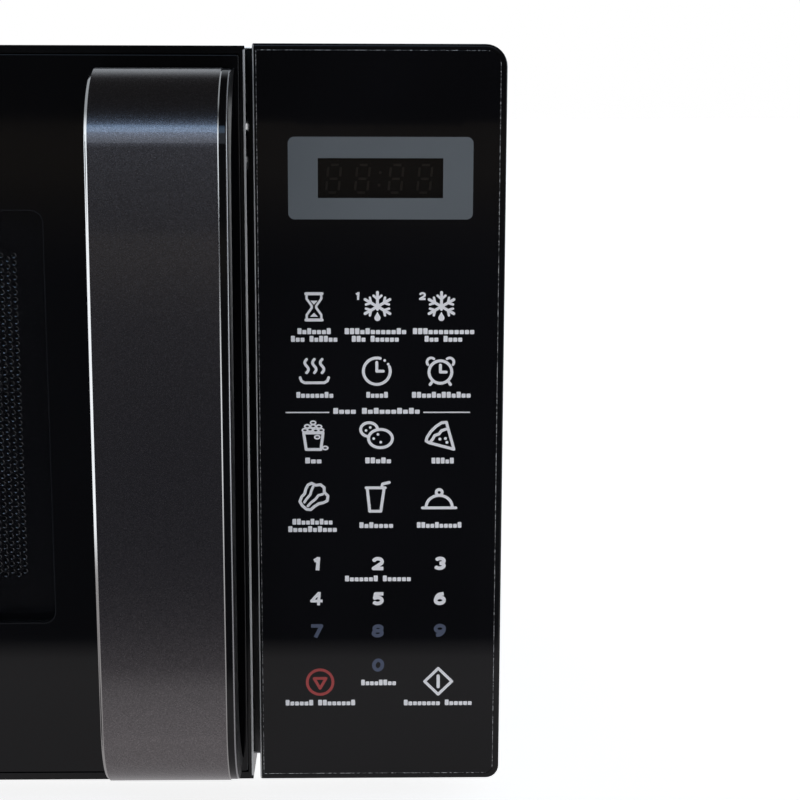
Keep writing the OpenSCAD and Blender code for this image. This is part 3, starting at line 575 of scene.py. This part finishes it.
def make_film():
    """The glossy keypad film, whose cut edge has painted glints in its colour."""
    rings = rounded_edge(film_shape, FILM_Y, 0.22 * MM, steps=2)
    rings += [ring_at(film_shape(0), RECESS_Y), ring_at(lens_shape(0), RECESS_Y),
              ring_at(lens_shape(0), FILM_Y)]

    def cut_edge(face):
        c = face.center
        inside = min(c.x - FILM_LO.x, FILM_HI.x - c.x, c.z - FILM_LO.z, FILM_HI.z - c.z)
        return 1 if inside < 0.2 * MM and abs(face.normal.y) < 0.98 else 0

    piece("keypad_film", loft(rings, wrap=True), "case", ["film", "film_edge_painted_glints"],
          ["membrane_sheet"], pick=cut_edge, sharp=50)


def make_lens():
    rings = [ring_at(lens_shape(0), FRONT - 0.1 * MM), ring_at(lens_shape(0), LENS_HI.y)]
    piece("display_lens", loft(rings), "case", ["lens"], ["display_window"])


# ---------------------------------------------------------------- flat printed shapes

# Printed shapes are drawn in mm about their own middle; put() takes them to the panel, whose
# places are given in mm right of its left edge and up from the door's top.
PRINT_Y = FRONT - 0.17 * MM
PRINT_DEPTH = 0.12 * MM
LINE = 0.95


def disc(x, z, r, sides=24):
    return [(x + r * math.cos(2 * math.pi * i / sides), z + r * math.sin(2 * math.pi * i / sides))
            for i in range(sides)]


def arc(x, z, rx, rz, start, end, steps=16):
    """Points of an elliptic arc, angles in degrees counter-clockwise from +X."""
    return [(x + rx * math.cos(math.radians(start + (end - start) * i / steps)),
             z + rz * math.sin(math.radians(start + (end - start) * i / steps))) for i in range(steps + 1)]


def stroke(points, width, closed=False, caps=True):
    """Polygons of a line of even width through points, with round joints."""
    shapes = []
    pairs = list(zip(points, points[1:] + ([points[0]] if closed else [])))
    for (x0, z0), (x1, z1) in pairs:
        length = math.hypot(x1 - x0, z1 - z0)
        if length < 1e-9:
            continue
        nx, nz = -(z1 - z0) / length * width / 2, (x1 - x0) / length * width / 2
        shapes.append([(x0 - nx, z0 - nz), (x1 - nx, z1 - nz), (x1 + nx, z1 + nz), (x0 + nx, z0 + nz)])
    joints = points if closed or caps else points[1:-1]
    shapes += [disc(x, z, width / 2, 12) for x, z in joints]
    return shapes


def lines(*paths, width=LINE, closed=False):
    return [shape for path in paths for shape in stroke(list(path), width, closed)]


def put(shapes, x, z, size=1.0):
    return [[(PANEL_LO.x + (x + size * px) * MM, DOOR_TOP + (z + size * pz) * MM) for px, pz in shape]
            for shape in shapes]


def stamp(name, adds, cuts, y, depth, body, material):
    """A thin closed plate whose face is the union of the add polygons less the cut ones."""
    verts, faces = [], []
    for shape in adds + cuts:
        faces.append(list(range(len(verts), len(verts) + len(shape))))
        verts += [Vector(p) for p in shape]
    out, _, tris, _, _, origins = delaunay_2d_cdt(verts, [], faces, 1, 1e-8)
    kept = [tri for tri, source in zip(tris, origins)
            if any(s < len(adds) for s in source) and not any(s >= len(adds) for s in source)]
    n = len(out)
    points = [(p.x, y, p.y) for p in out] + [(p.x, y + depth, p.y) for p in out]
    solid = [tuple(tri) for tri in kept] + [tuple(i + n for i in reversed(tri)) for tri in kept]
    edges = edges_of(kept)
    solid += [(a, b, b + n, a + n)[::-1] for a, b in edges if (b, a) not in edges]
    used = sorted({i for face in solid for i in face})
    index = {old: new for new, old in enumerate(used)}
    mesh = [points[i] for i in used], [tuple(index[i] for i in face) for face in solid]
    piece(name, mesh, body, [material], sharp=30)


def print_on_film(name, shapes, material, cuts=()):
    stamp(name, shapes, list(cuts), PRINT_Y, PRINT_DEPTH, "case", material)


def hourglass():
    half = [(2.35, 4.1), (2.35, 2.6), (0.75, 0.35), (0.75, -0.35), (2.35, -2.6), (2.35, -4.1)]
    glass = [[(side * x, z) for x, z in half] for side in (-1, 1)]
    ends = lines([(-2.6, 4.25), (2.6, 4.25)], [(-2.6, -4.25), (2.6, -4.25)], width=1.0)
    sand = [[(-1.15, 2.0), (0, 0.7), (1.15, 2.0)], [(-1.3, -3.2), (1.3, -3.2), (0, -1.9)]]
    return lines(*glass, width=0.75) + ends + sand


def snowflake():
    """Five forked arms and a short one that ends in a drop."""
    shapes = []
    for i in range(6):
        a = math.radians(90 + 60 * i)
        lowest = i == 3
        reach = 0.9 if lowest else 4.6
        shapes += lines([(0, 0), (reach * math.cos(a), reach * math.sin(a))])
        if lowest:
            continue
        root = 2.4 * math.cos(a), 2.4 * math.sin(a)
        for side in (-1, 1):
            b = a + side * math.radians(48)
            shapes += lines([root, (root[0] + 1.7 * math.cos(b), root[1] + 1.7 * math.sin(b))], width=0.8)
    return shapes + [disc(0, -3.7, 1.0), [(-0.9, -3.3), (0.9, -3.3), (0, -1.7)]]


def steam_dish():
    waves = []
    for x in (-2.5, 0, 2.5):
        waves.append([(x + 0.6 * math.sin(t * math.pi / 5), -0.5 + 0.44 * t) for t in range(11)])
    dish = [(-4.6, -2.1), (-4.2, -3.2), (-3.2, -3.8), (3.2, -3.8), (4.2, -3.2), (4.6, -2.1)]
    return lines(*waves, dish, width=0.9)


def clock():
    r = 4.35
    face = arc(0, 0, r, r, 75, 380, 28)
    dots = [disc(r * math.cos(math.radians(a)), r * math.sin(math.radians(a)), 0.45, 12) for a in (32, 54)]
    return lines(face, [(0, 2.9), (0, 0), (2.1, 0)]) + dots


def alarm_clock():
    shapes = lines(arc(0, -0.3, 3.7, 3.7, 0, 360, 28), [(0, 2.0), (0, -0.3), (1.9, -0.3)])
    for side in (-1, 1):
        shapes += lines([(side * x, z) for x, z in arc(3.0, 3.0, 1.35, 1.35, -40, 130, 10)], width=0.85)
        shapes += lines([(side * 2.5, -3.3), (side * 3.3, -4.4)])
    return shapes


def popcorn():
    """A tub with puffs over it and one that fell out."""
    tub = lines([(-3.7, 1.4), (-2.9, -4.1), (1.9, -4.1), (2.6, 1.4)], [(-3.7, 1.4), (2.6, 1.4)])
    puffs = [(-3.3, 2.3), (-1.6, 2.5), (0.2, 2.2), (2.0, 2.3), (-2.5, 3.6), (-0.6, 3.6), (1.3, 3.5),
             (-0.6, 4.8), (3.3, -3.6), (0.7, 0.0)]
    return tub + [s for x, z in puffs for s in lines(arc(x, z, 0.85, 0.55, 0, 360, 12), width=0.5)]


def potatoes():
    """Two potatoes, the nearer one in front of the other."""
    shapes = lines(arc(-2.5, 2.1, 2.75, 2.3, 8, 262, 24), arc(1.2, -0.9, 3.9, 3.05, 0, 360, 32))
    eyes = [(-2.1, 2.8), (-3.5, 1.8), (-1.0, -0.9), (0.4, 0.5), (1.3, -2.1)]
    return shapes + [disc(x, z, 0.45, 10) for x, z in eyes]


def pizza():
    """A slice with a thick crust and three toppings."""
    crust = [(2.9, 3.9), (2.7, 4.7), (1.1, 4.5), (-0.6, 3.4), (-2.4, 1.6), (-3.6, -0.3), (-3.9, -1.5),
             (-3.0, -2.1)]
    inner = [(2.6, 2.4), (1.1, 1.9), (0.3, 0.8), (-1.1, 0.3), (-1.8, -1.0), (-2.7, -2.0)]
    shapes = lines(crust + [(5.2, -4.3), (2.9, 3.9)], inner)
    return shapes + [disc(x, z, 0.5, 14) for x, z in ((0.6, -0.9), (2.4, -0.7), (2.9, -2.0))]


def vegetables():
    """A bundle of wavy leaves: a lobed outline with two ribs."""
    edge = [(-2.1, 3.8), (-0.9, 4.4), (0.4, 3.7), (2.0, 3.9), (3.2, 2.9), (3.2, 1.4), (4.4, 0.1), (4.2, -1.5),
            (2.9, -2.2), (1.4, -2.5), (0, -3.4), (-1.2, -4.5), (-2.6, -4.4), (-4.0, -3.2), (-4.8, -1.8),
            (-4.2, -0.2), (-3.2, 0.9), (-2.8, 2.5)]
    first = [(-0.4, 3.3), (-1.0, 1.9), (-1.4, 0.5), (-2.6, -0.9), (-3.3, -2.0)]
    second = [(2.7, 0.7), (1.3, 0.3), (0.3, -1.0), (-1.1, -2.1), (-2.2, -3.3)]
    return lines(edge, closed=True) + lines(first, second, width=0.85)


def drink():
    return lines([(-3.5, 3.2), (2.8, 3.2)], [(-3.1, 3.0), (-2.3, -4.7), (1.35, -4.7), (2.4, 3.0)],
                 [(1.6, 3.3), (1.9, 4.5), (4.1, 5.0)])


def cloche():
    dome = arc(0, -3.2, 4.3, 4.0, 0, 180, 20)
    return lines(dome, [(-5.5, -3.4), (5.5, -3.4)], arc(0, 1.8, 1.0, 1.0, 0, 360, 12))


def stop_sign():
    return lines(arc(0, 0, 4.3, 4.3, 0, 360, 36)) + lines([(-2.0, 1.3), (2.0, 1.3), (0, -2.2)], closed=True)


def start_sign():
    diamond = lines([(0, 4.55), (4.55, 0), (0, -4.55), (-4.55, 0)], closed=True)
    return diamond + lines([(0, 1.9), (0, -1.9)], width=1.1)


def digit(char):
    """A bold keypad number about 4.6 mm tall, leaning a little."""
    h, w, end = 1.68, 1.42, 0.6
    paths = {
        "0": [arc(0, 0, w, h, 0, 360, 24)],
        "1": [[(-0.9, h - 0.75), (0.4, h + 0.05)], [(0.4, h + end), (0.4, -h - end)]],
        "2": [arc(0, h - 1.1, w, 1.1, 165, -30, 12) + [(-w + 0.2, -h), (w + end, -h)]],
        "3": [arc(-0.05, 0.85, w - 0.1, 0.85, 155, -90, 12), arc(-0.05, -0.8, w, 0.85, 90, -155, 12)],
        "4": [[(0.75, h + end), (0.75, -h - end)], [(0.6, h + 0.2), (-w - 0.2, -0.8), (w + end, -0.8)]],
        "5": [[(w + 0.3, h), (-0.85, h), (-1.05, 0.25)] + arc(-0.05, -0.6, w, 1.05, 125, -150, 14)],
        "6": [arc(0, -0.6, w, 1.05, 0, 360, 20), [(1.1, h)] + arc(0.35, -0.6, 1.75, 2.2, 105, 175, 8)],
        "7": [[(-w - end, h), (w, h), (-0.3, -h - end)]],
        "8": [arc(0, 0.85, w - 0.15, 0.82, 0, 360, 20), arc(0, -0.8, w, 0.88, 0, 360, 20)],
        "9": [arc(0, 0.6, w, 1.05, 0, 360, 20), [(-1.1, -h)] + arc(-0.35, 0.6, 1.75, 2.2, -75, -5, 8)],
    }
    lean = 0.07
    width = 0.98 if char == "4" else 1.22
    slanted = [[(x + lean * z, z) for x, z in path] for path in paths[char]]
    return [shape for path in slanted for shape in stroke(path, width, caps=False)]


def words(x0, x1, z, letters):
    """A line of text as a row of plain blocks, tall ones among low ones, with as many blocks in
    each word as it has letters."""
    chance = random.Random(int(x0 * 10 - z))
    space, low, tall, corner = 0.9, 1.35, 1.95, 0.22
    unit = (x1 - x0) / (sum(letters) + space * (len(letters) - 1))
    blocks, x = [], x0
    for count in letters:
        for i in range(count):
            height = tall if i == 0 or chance.random() < 0.25 else low
            lo, hi = (x + 0.08 * unit, z - low / 2), (x + 0.92 * unit, z - low / 2 + height)
            blocks.append(outline(*lo, *hi, [corner] * 4, steps=2))
            x += unit
        x += space * unit
    return blocks


# Pictograms: name, drawing, and the place of its middle
ICONS = [
    ("hourglass", hourglass, 19.0, -82.4), ("snow_1", snowflake, 39.4, -82.3),
    ("snow_2", snowflake, 60.0, -82.3), ("steam", steam_dish, 19.0, -103.4),
    ("clock", clock, 39.2, -103.4), ("alarm", alarm_clock, 59.8, -103.4),
    ("popcorn", popcorn, 19.1, -125.2), ("potatoes", potatoes, 39.2, -124.8),
    ("pizza", pizza, 59.2, -125.0), ("vegetables", vegetables, 18.8, -145.0),
    ("drink", drink, 39.2, -145.4), ("cloche", cloche, 59.7, -145.6)]

# Lines of text replaced by blocks: left, right and height of each line, and its words' lengths
WORD_LINES = [
    (13.5, 24.5, -90.6, [7]), (11.4, 26.6, -93.1, [3, 6]), (28.7, 48.8, -90.6, [12]),
    (31.0, 46.4, -93.1, [3, 6]), (50.7, 70.8, -90.6, [12]), (54.5, 66.9, -93.1, [3, 4]),
    (13.0, 25.2, -111.5, [8]), (35.7, 42.9, -111.5, [5]), (50.5, 69.8, -111.5, [12]),
    (24.9, 53.3, -116.8, [4, 10]), (15.7, 21.3, -133.3, [3]), (35.3, 44.0, -133.3, [5]),
    (57.0, 64.5, -133.4, [5]), (11.4, 24.8, -153.9, [9]), (10.0, 26.2, -156.4, [10]),
    (33.4, 44.7, -155.1, [7]), (52.3, 67.2, -155.1, [10]), (28.6, 50.6, -173.3, [7, 6]),
    (33.9, 45.8, -209.4, [8]), (8.6, 32.1, -216.4, [6, 8]), (48.2, 71.2, -216.5, [8, 6])]

KEYS = {"1": (19.4, -167.9), "2": (39.5, -167.9), "3": (60.1, -167.9),
        "4": (19.3, -179.9), "5": (39.6, -180.0), "6": (60.2, -180.0),
        "7": (19.3, -191.0), "8": (39.6, -191.1), "9": (60.2, -191.0), "0": (39.7, -203.0)}
DIM_KEYS = "7890"


def make_legends():
    for name, drawing, x, z in ICONS:
        print_on_film("icon_" + name, put(drawing(), x, z), "legend")
    for char, (x, z) in KEYS.items():
        print_on_film("key_" + char, put(digit(char), x, z), "legend_dim" if char in DIM_KEYS else "legend")
    for char, x in (("1", 33.0), ("2", 53.8)):
        print_on_film("snow_number_" + char, put(digit(char), x, -78.9, 0.56), "legend")
    blocks = [shape for line in WORD_LINES for shape in words(*line)]
    print_on_film("word_bars", put(blocks, 0, 0), "legend")
    rules = lines([(9.8, -117.0), (23.6, -117.0)], [(54.5, -117.0), (69.4, -117.0)], width=0.4)
    print_on_film("rules", put(rules, 0, 0), "legend")
    print_on_film("icon_stop", put(stop_sign(), 20.3, -208.9), "legend_red")
    print_on_film("icon_start", put(start_sign(), 59.8, -208.8), "legend")


def make_display_border():
    """The grey printed border round the display."""
    x0, x1 = PANEL_LO.x + 11.0 * MM, PANEL_LO.x + 69.8 * MM
    z0, z1 = DOOR_TOP - 54.3 * MM, DOOR_TOP - 28.2 * MM
    border = outline(x0, z0, x1, z1, [2.0 * MM] * 4)
    print_on_film("display_border", [border], "grey_print", [lens_shape(-0.05 * MM)])


def make_display_segments():
    """Four unlit numbers of seven bars each, and the colon between them."""
    middle_z, lean, bar, gap = -41.6, 0.10, 0.75, 0.75
    w, h = 2.0, 4.4
    bars = [[(-w, z), (w, z)] for z in (h, 0, -h)]
    bars += [[(side * w, end * h), (side * w, 0)] for side in (-1, 1) for end in (-1, 1)]
    shapes = []
    for middle in (25.4, 34.6, 45.3, 54.5):
        for (ax, az), (bx, bz) in bars:
            length = math.hypot(bx - ax, bz - az)
            cut_x, cut_z = (bx - ax) / length * gap, (bz - az) / length * gap
            path = [(ax + cut_x, az + cut_z), (bx - cut_x, bz - cut_z)]
            shapes += stroke([(middle + x + lean * z, middle_z + z) for x, z in path], bar, caps=False)
    shapes += [disc(40.1 + lean * z, middle_z + z, 0.5, 12) for z in (-2.0, 2.0)]
    stamp("display_segments", put(shapes, 0, 0), [], FRONT + 2.4 * MM, 0.15 * MM, "case",
          "segment")


make_panel_shell()
make_film()
make_lens()
make_legends()
make_display_border()
make_display_segments()


# ---------------------------------------------------------------- door

WINDOW = [DOOR_LO.x + 43.6 * MM, DOOR_TOP - 188.1 * MM, PANEL_LO.x - 67.0 * MM, DOOR_TOP - 51.5 * MM]
GLASS_Y = FRONT - 0.02 * MM


def glass_shape(inset):
    return outline(GLASS_LO.x, GLASS_LO.z, GLASS_HI.x, GLASS_HI.z, [1.2 * MM] * 4, inset)


def window_shape(inset):
    return outline(*WINDOW, [4.0 * MM] * 4, inset)


def make_door_glass():
    """Black-printed glass with a clear window, outlined by a thin print line. Its right chamfer is a
    lighter grey, a painted highlight.
    """
    gap, chamfer, line = 0.25 * MM, 0.45 * MM, 0.3 * MM
    rear = GLASS_HI.y
    rings = rounded_edge(lambda inset: glass_shape(inset + gap), GLASS_Y, chamfer, steps=3)
    rings += [ring_at(glass_shape(gap), rear), ring_at(window_shape(0), rear),
              ring_at(window_shape(0), GLASS_Y)]
    right = GLASS_HI.x - gap - chamfer

    # The right chamfer takes the painted highlight.
    def right_edge(face):
        return 1 if face.center.x > right and 0.5 < abs(face.normal.x) < 0.9 else 0

    piece("glass_border", loft(rings, wrap=True), "door", ["black_print", "glass_edge_painted_highlight"],
          ["door_glass"], pick=right_edge)
    rings = [ring_at(window_shape(0), GLASS_Y), ring_at(window_shape(0), rear)]
    piece("glass_window", loft(rings), "door", ["window_glass"])
    stamp("window_line", [window_shape(-line / 2)], [window_shape(line / 2)], FRONT - 0.05 * MM, 0.05 * MM,
          "door", "print_line")


def make_edge_bead():
    """The rounded outer edge of the door next to the panel, a little proud of the moulding, coloured
    light grey as a painted highlight.
    """
    turn = [(-0.55, -0.02), (-0.25, -0.10), (0.0, -0.09), (0.09, 0.0), (0.10, 0.25), (0.02, 0.55),
            (-0.55, 0.55)]
    ends = DOOR_LO.z + 1.2 * MM, DOOR_HI.z - 1.2 * MM
    rings = [[(DOOR_HI.x + x * MM, FRONT + y * MM, z) for x, y in turn] for z in ends]
    piece("door_edge_bead", loft(rings), "door", ["edge_painted_highlight"], sharp=50)


# The perforated sheet: staggered columns of holes, each in a six-sided cell
HOLE_COLUMNS, HOLE_ROWS = 113, 45
HOLE_STEP, HOLE_PITCH = 2.1 * MM, 2.4 * MM
HOLE_R, RIM_R = 0.66 * MM, 0.81 * MM
HOLE_SIDES = 12
RIM_SHIFT = 0.12 * MM, -0.072 * MM
THROAT_DEPTH = 0.075 * MM
HOLES_RIGHT = PANEL_LO.x - 77.0 * MM
HOLES_LEFT = HOLES_RIGHT - HOLE_COLUMNS * HOLE_STEP
HOLES_TOP = DOOR_TOP - 65.5 * MM


class Sheet:
    """A mesh between two flat sides, whose corners are shared by place."""

    def __init__(self, front, rear):
        self.front, self.rear = front, rear
        self.verts, self.faces, self.index = [], [], {}

    def point(self, x, z, y):
        key = round(x / 1e-6), round(z / 1e-6), round(y / 1e-6)
        if key not in self.index:
            self.index[key] = len(self.verts)
            self.verts.append((x, y, z))
        return self.index[key]

    def face(self, corners, turn=1):
        self.faces.append(tuple(self.point(x, z, y) for (x, z), y in corners)[::turn])

    def flat(self, corners):
        """One face on the front and its match on the rear."""
        self.face([(corner, self.front) for corner in corners])
        self.face([(corner, self.rear) for corner in reversed(corners)])

    def tile(self, x0, z0, x1, z1):
        self.flat([(x0, z1), (x0, z0), (x1, z0), (x1, z1)])

    def close(self):
        """Walls between the open edges of the front and those of the rear."""
        edges = edges_of(self.faces)
        for a, b in list(edges):
            if (b, a) in edges or self.verts[a][1] != self.front:
                continue
            rear_a, rear_b = (self.point(self.verts[i][0], self.verts[i][2], self.rear) for i in (a, b))
            if (rear_a, rear_b) not in edges:
                self.faces.append((a, b, rear_b, rear_a))


def circle(x, z, r):
    angles = [2 * math.pi * i / HOLE_SIDES for i in range(HOLE_SIDES)]
    return [(x + r * math.cos(a), z + r * math.sin(a)) for a in angles]


def add_hole(sheet, x, z):
    """A six-sided cell with a round hole, whose wider front rim sits off its middle."""
    left, right = x - HOLE_STEP / 2, x + HOLE_STEP / 2
    top, low = z + HOLE_PITCH / 2, z - HOLE_PITCH / 2
    cell = [(right, z), (right, top), (left, top), (left, z), (left, low), (right, low)]
    hole = circle(x, z, HOLE_R)
    rim = circle(x + RIM_SHIFT[0], z + RIM_SHIFT[1], RIM_R)
    for i in range(6):
        p, q = cell[i], cell[(i + 1) % 6]
        for y, ring, turn in ((sheet.front, rim, 1), (sheet.rear, hole, -1)):
            a, b, c = ring[2 * i], ring[2 * i + 1], ring[(2 * i + 2) % HOLE_SIDES]
            for corners in ((p, q, b), (p, b, a), (q, c, b)):
                sheet.face([(corner, y) for corner in corners], turn)
    throat = sheet.front + THROAT_DEPTH
    for i in range(HOLE_SIDES):
        j = (i + 1) % HOLE_SIDES
        sheet.face([(rim[i], sheet.front), (rim[j], sheet.front), (hole[j], throat), (hole[i], throat)])
        sheet.face([(hole[i], throat), (hole[j], throat), (hole[j], sheet.rear), (hole[i], sheet.rear)])


def add_margin(sheet):
    """The plain margin, which joins the cells' outer points to the sheet's edge."""
    low = HOLES_TOP - (HOLE_ROWS + 0.5) * HOLE_PITCH
    steps = [HOLES_TOP - i * HOLE_PITCH / 2 for i in range(2 * HOLE_ROWS + 2)]
    for upper, lower in zip(steps, steps[1:]):
        sheet.tile(SCREEN_LO.x, lower, HOLES_LEFT, upper)
        sheet.tile(HOLES_RIGHT, lower, SCREEN_HI.x, upper)
    marks = [HOLES_LEFT + i * HOLE_STEP for i in range(HOLE_COLUMNS + 1)]
    for a, b in zip([SCREEN_LO.x] + marks, marks + [SCREEN_HI.x]):
        sheet.flat([(a, HOLES_TOP), (b, HOLES_TOP), (b, SCREEN_HI.z), (a, SCREEN_HI.z)])
        sheet.flat([(a, SCREEN_LO.z), (b, SCREEN_LO.z), (b, low), (a, low)])


def make_screen():
    sheet = Sheet(SCREEN_LO.y, SCREEN_HI.y)
    for column in range(HOLE_COLUMNS):
        drop = HOLE_PITCH / 2 * (column % 2)
        x = HOLES_LEFT + (column + 0.5) * HOLE_STEP
        left, right = x - HOLE_STEP / 2, x + HOLE_STEP / 2
        for row in range(HOLE_ROWS):
            add_hole(sheet, x, HOLES_TOP - drop - (row + 0.5) * HOLE_PITCH)
        if drop:
            sheet.tile(left, HOLES_TOP - drop, right, HOLES_TOP)
        else:
            low = HOLES_TOP - HOLE_ROWS * HOLE_PITCH
            sheet.tile(left, low - HOLE_PITCH / 2, right, low)
    add_margin(sheet)
    sheet.close()

    def countersunk(face):
        return 1 if 0.5 < abs(face.normal.y) < 0.985 else 0

    piece("screen_mesh", (sheet.verts, sheet.faces), "door", ["screen", "hole_rim"],
          ["door_screen"], pick=countersunk, sharp=15)


HANDLE_MIDDLE = (HANDLE_LO.z + HANDLE_HI.z) / 2
HANDLE_HALF = (HANDLE_HI.z - HANDLE_LO.z) / 2
ARCH_FLAT = 55 * MM
ARCH_POWER = 4.4
GRIP_GAP = 22.3 * MM


def handle_profile():
    """Side outline of the handle's front, from its lower end to its upper one: the distance
    out of the door and the height above the handle's middle."""
    reach, bend, bow = HANDLE_HI.y - HANDLE_LO.y, 24 * MM, 2 * MM
    mid_u, mid_v = reach - bow - bend, HANDLE_HALF - bend
    lower = [(mid_u * i / 6, -HANDLE_HALF) for i in range(6)]
    for i in range(19):
        a = math.radians(-90 + 88 * i / 18)
        lower.append((mid_u + bend * math.cos(a), -mid_v + bend * math.sin(a)))
    heights = [mid_v * (2 * i / 24 - 1) for i in range(1, 24)]
    front = [(reach - bow * (v / mid_v) ** 2, v) for v in heights]
    return lower + front + [(u, -v) for u, v in reversed(lower)]


def arch(v, half):
    """The distance from the door to the grip's back at height v: flat, then falling to 0."""
    x = max(0.0, (abs(v) - ARCH_FLAT) / (half - ARCH_FLAT))
    return GRIP_GAP * max(0.0, 1 - x ** ARCH_POWER)


def distances(points):
    """How far along a path each of its points is."""
    run = [0.0]
    for (u0, v0), (u1, v1) in zip(points, points[1:]):
        run.append(run[-1] + math.hypot(u1 - u0, v1 - v0))
    return run


def section(x0, x1, outer, inner, edge, edge_back, steps=4):
    """One slice of a bar: from x0 to x1, with rounded front and back edges, between two points."""
    (uo, vo), (ui, vi) = outer, inner
    depth = math.hypot(uo - ui, vo - vi)
    du, dv = (ui - uo) / depth, (vi - vo) / depth
    edge, edge_back = min(edge, depth * 0.45), min(edge_back, depth * 0.45)
    loop = []
    corners = [(x0 + edge, edge, edge, 180), (x1 - edge, edge, edge, 270),
               (x1 - edge_back, depth - edge_back, edge_back, 0),
               (x0 + edge_back, depth - edge_back, edge_back, 90)]
    for x, d, r, start in corners:
        for i in range(steps + 1):
            a = math.radians(start + 90 * i / steps)
            loop.append((x + r * math.cos(a), d + r * math.sin(a)))
    return [(x, FRONT - (uo + du * d), HANDLE_MIDDLE + vo + dv * d) for x, d in loop]


def grip_loop(outer):
    """The bar behind the strap. Its back follows its front by the share of the way along each."""
    half, inset = HANDLE_HALF - 0.8 * MM, 0.3 * MM
    heights = [-half * math.cos(math.pi * i / 400) for i in range(401)]
    back = [(arch(v, half), v) for v in heights]
    front_run, back_run = distances(outer), distances(back)
    slices = []
    for (u, v), way in zip(outer, front_run):
        goal = way / front_run[-1] * back_run[-1]
        ui, vi = next(point for point, run in zip(back, back_run) if run >= goal - 1e-12)
        share = min(inset / max(math.hypot(u - ui, v - vi), 1e-6), 0.3)
        start = (u + (ui - u) * share, v + (vi - v) * share)
        slices.append(section(HANDLE_LO.x + 0.15 * MM, HANDLE_HI.x, start, (ui, vi), 0.75 * MM, 1.0 * MM))
    return loft(slices)


def grip_post(end):
    """The post at the lower (-1) or upper (1) end, which meets the door."""
    inset, half, from_end = 6 * MM, 7.5 * MM, 9.5 * MM
    z = HANDLE_MIDDLE + end * (HANDLE_HALF - from_end)
    post = outline(HANDLE_LO.x + inset, z - half, HANDLE_HI.x - inset, z + half, [3 * MM] * 4)
    return loft([ring_at(post, FRONT - 19 * MM), ring_at(post, FRONT)])


def make_grip(outer):
    right = HANDLE_HI.x

    # The handle's right side takes the material with the painted sheen.
    def side_or_rim(face):
        c, normal = face.center, face.normal
        if c.x > right - 0.1 * MM and normal.x > 0.97:
            return 2
        return 1 if c.x > right - 0.75 * MM and 0.25 < normal.x < 0.97 and normal.y < -0.05 else 0

    piece("handle_grip", merge(grip_loop(outer), grip_post(-1), grip_post(1)), "door",
          ["gloss_black", "polished_dark", "handle_side"], ["handle_body"], pick=side_or_rim, sharp=40)


def make_strap(outer):
    """The metallic band over the grip's front, with a polished chamfer along each side."""
    wrap, thick, rim = 9 * MM, 1.4 * MM, 2.4 * MM
    left, right = HANDLE_LO.x, HANDLE_HI.x - rim
    left_cut, right_cut = (0.9 * MM, 0.8 * MM), (0.45 * MM, 0.4 * MM)
    loop = [(left, left_cut[1]), (left + left_cut[0], 0), (right - right_cut[0], 0),
            (right, right_cut[1]), (right, thick), (left, thick)]
    slices = []
    for i, (u, v) in enumerate(outer):
        if u < wrap:
            continue
        (u0, v0), (u1, v1) = outer[i - 1], outer[i + 1]
        size = math.hypot(u1 - u0, v1 - v0)
        nu, nv = (v1 - v0) / size, (u0 - u1) / size
        slices.append([(x, FRONT - (u - nu * d), HANDLE_MIDDLE + v - nv * d) for x, d in loop])

    def chamfer(face):
        x = face.center.x
        return 1 if x < left + left_cut[0] or x > right - right_cut[0] else 0

    piece("handle_strap_shell", loft(slices), "door", ["strap", "polished"],
          ["handle_strap"], pick=chamfer, sharp=20)


make_door_glass()
make_edge_bead()
make_screen()
make_grip(handle_profile())
make_strap(handle_profile())


# ---------------------------------------------------------------- carried-over CAD nodes

FINE, SOFT = 0.25 * MM, 0.5 * MM

# Material, width of bevel, and the nodes that have them
DRESS = [
    ("case_paint", 0, "outer_cabinet"),
    ("cavity_enamel", 0, "cavity"),
    ("zinc", 0, "rear_panel base_plate waveguide magnetron_yoke magnetron_filter capacitor_clamp"),
    ("rubber", SOFT, "feet"),
    ("black_plastic", SOFT, "rear_spacer cord_gland"),
    ("steel", FINE, "cabinet_screws upper_hinge lower_hinge hinge_pins handle_screws"),
    ("display_back", 0, "display_module"),
    ("board", 0, "control_board filter_board"),
    ("component", FINE, "board_relays"),
    ("tail_film", 0, "membrane_tail"),
    ("cream", FINE, "latch_board interlock_lever turntable_coupler roller_a roller_b roller_c"),
    ("dark_part", FINE, "microswitches hv_diode thermal_cutouts latch_hook"),
    ("mica", 0, "waveguide_cover"),
    ("copper", FINE, "magnetron_anode"),
    ("aluminium", 0, "magnetron_fins"),
    ("core", FINE, "transformer_core fan_motor"),
    ("copper", SOFT, "transformer_coils"),
    ("aluminium", FINE, "hv_capacitor"),
    ("black_plastic", FINE, "fan_shroud"),
    ("steel", 0, "fan_shaft latch_spring"),
    ("cream", 0, "fan_impeller"),
    ("black_plastic", 0, "air_duct"),
    ("lamp_glass", 0, "oven_lamp"),
    ("ceramic", FINE, "lamp_socket"),
    ("red_lead", 0, "wiring_harness"),
    ("zinc", FINE, "turntable_motor"),
    ("tray_glass", 0, "glass_tray"),
    ("cream", SOFT, "roller_ring"),
    ("gloss_black", SOFT, "door_frame"),
    ("screen", 0, "door_plate"),
    ("inner_film", 0, "inner_window"),
    ("cover", SOFT, "choke_cover")]

for material, bevel, nodes in DRESS:
    for node in nodes.split():
        dress(node, material, bevel)
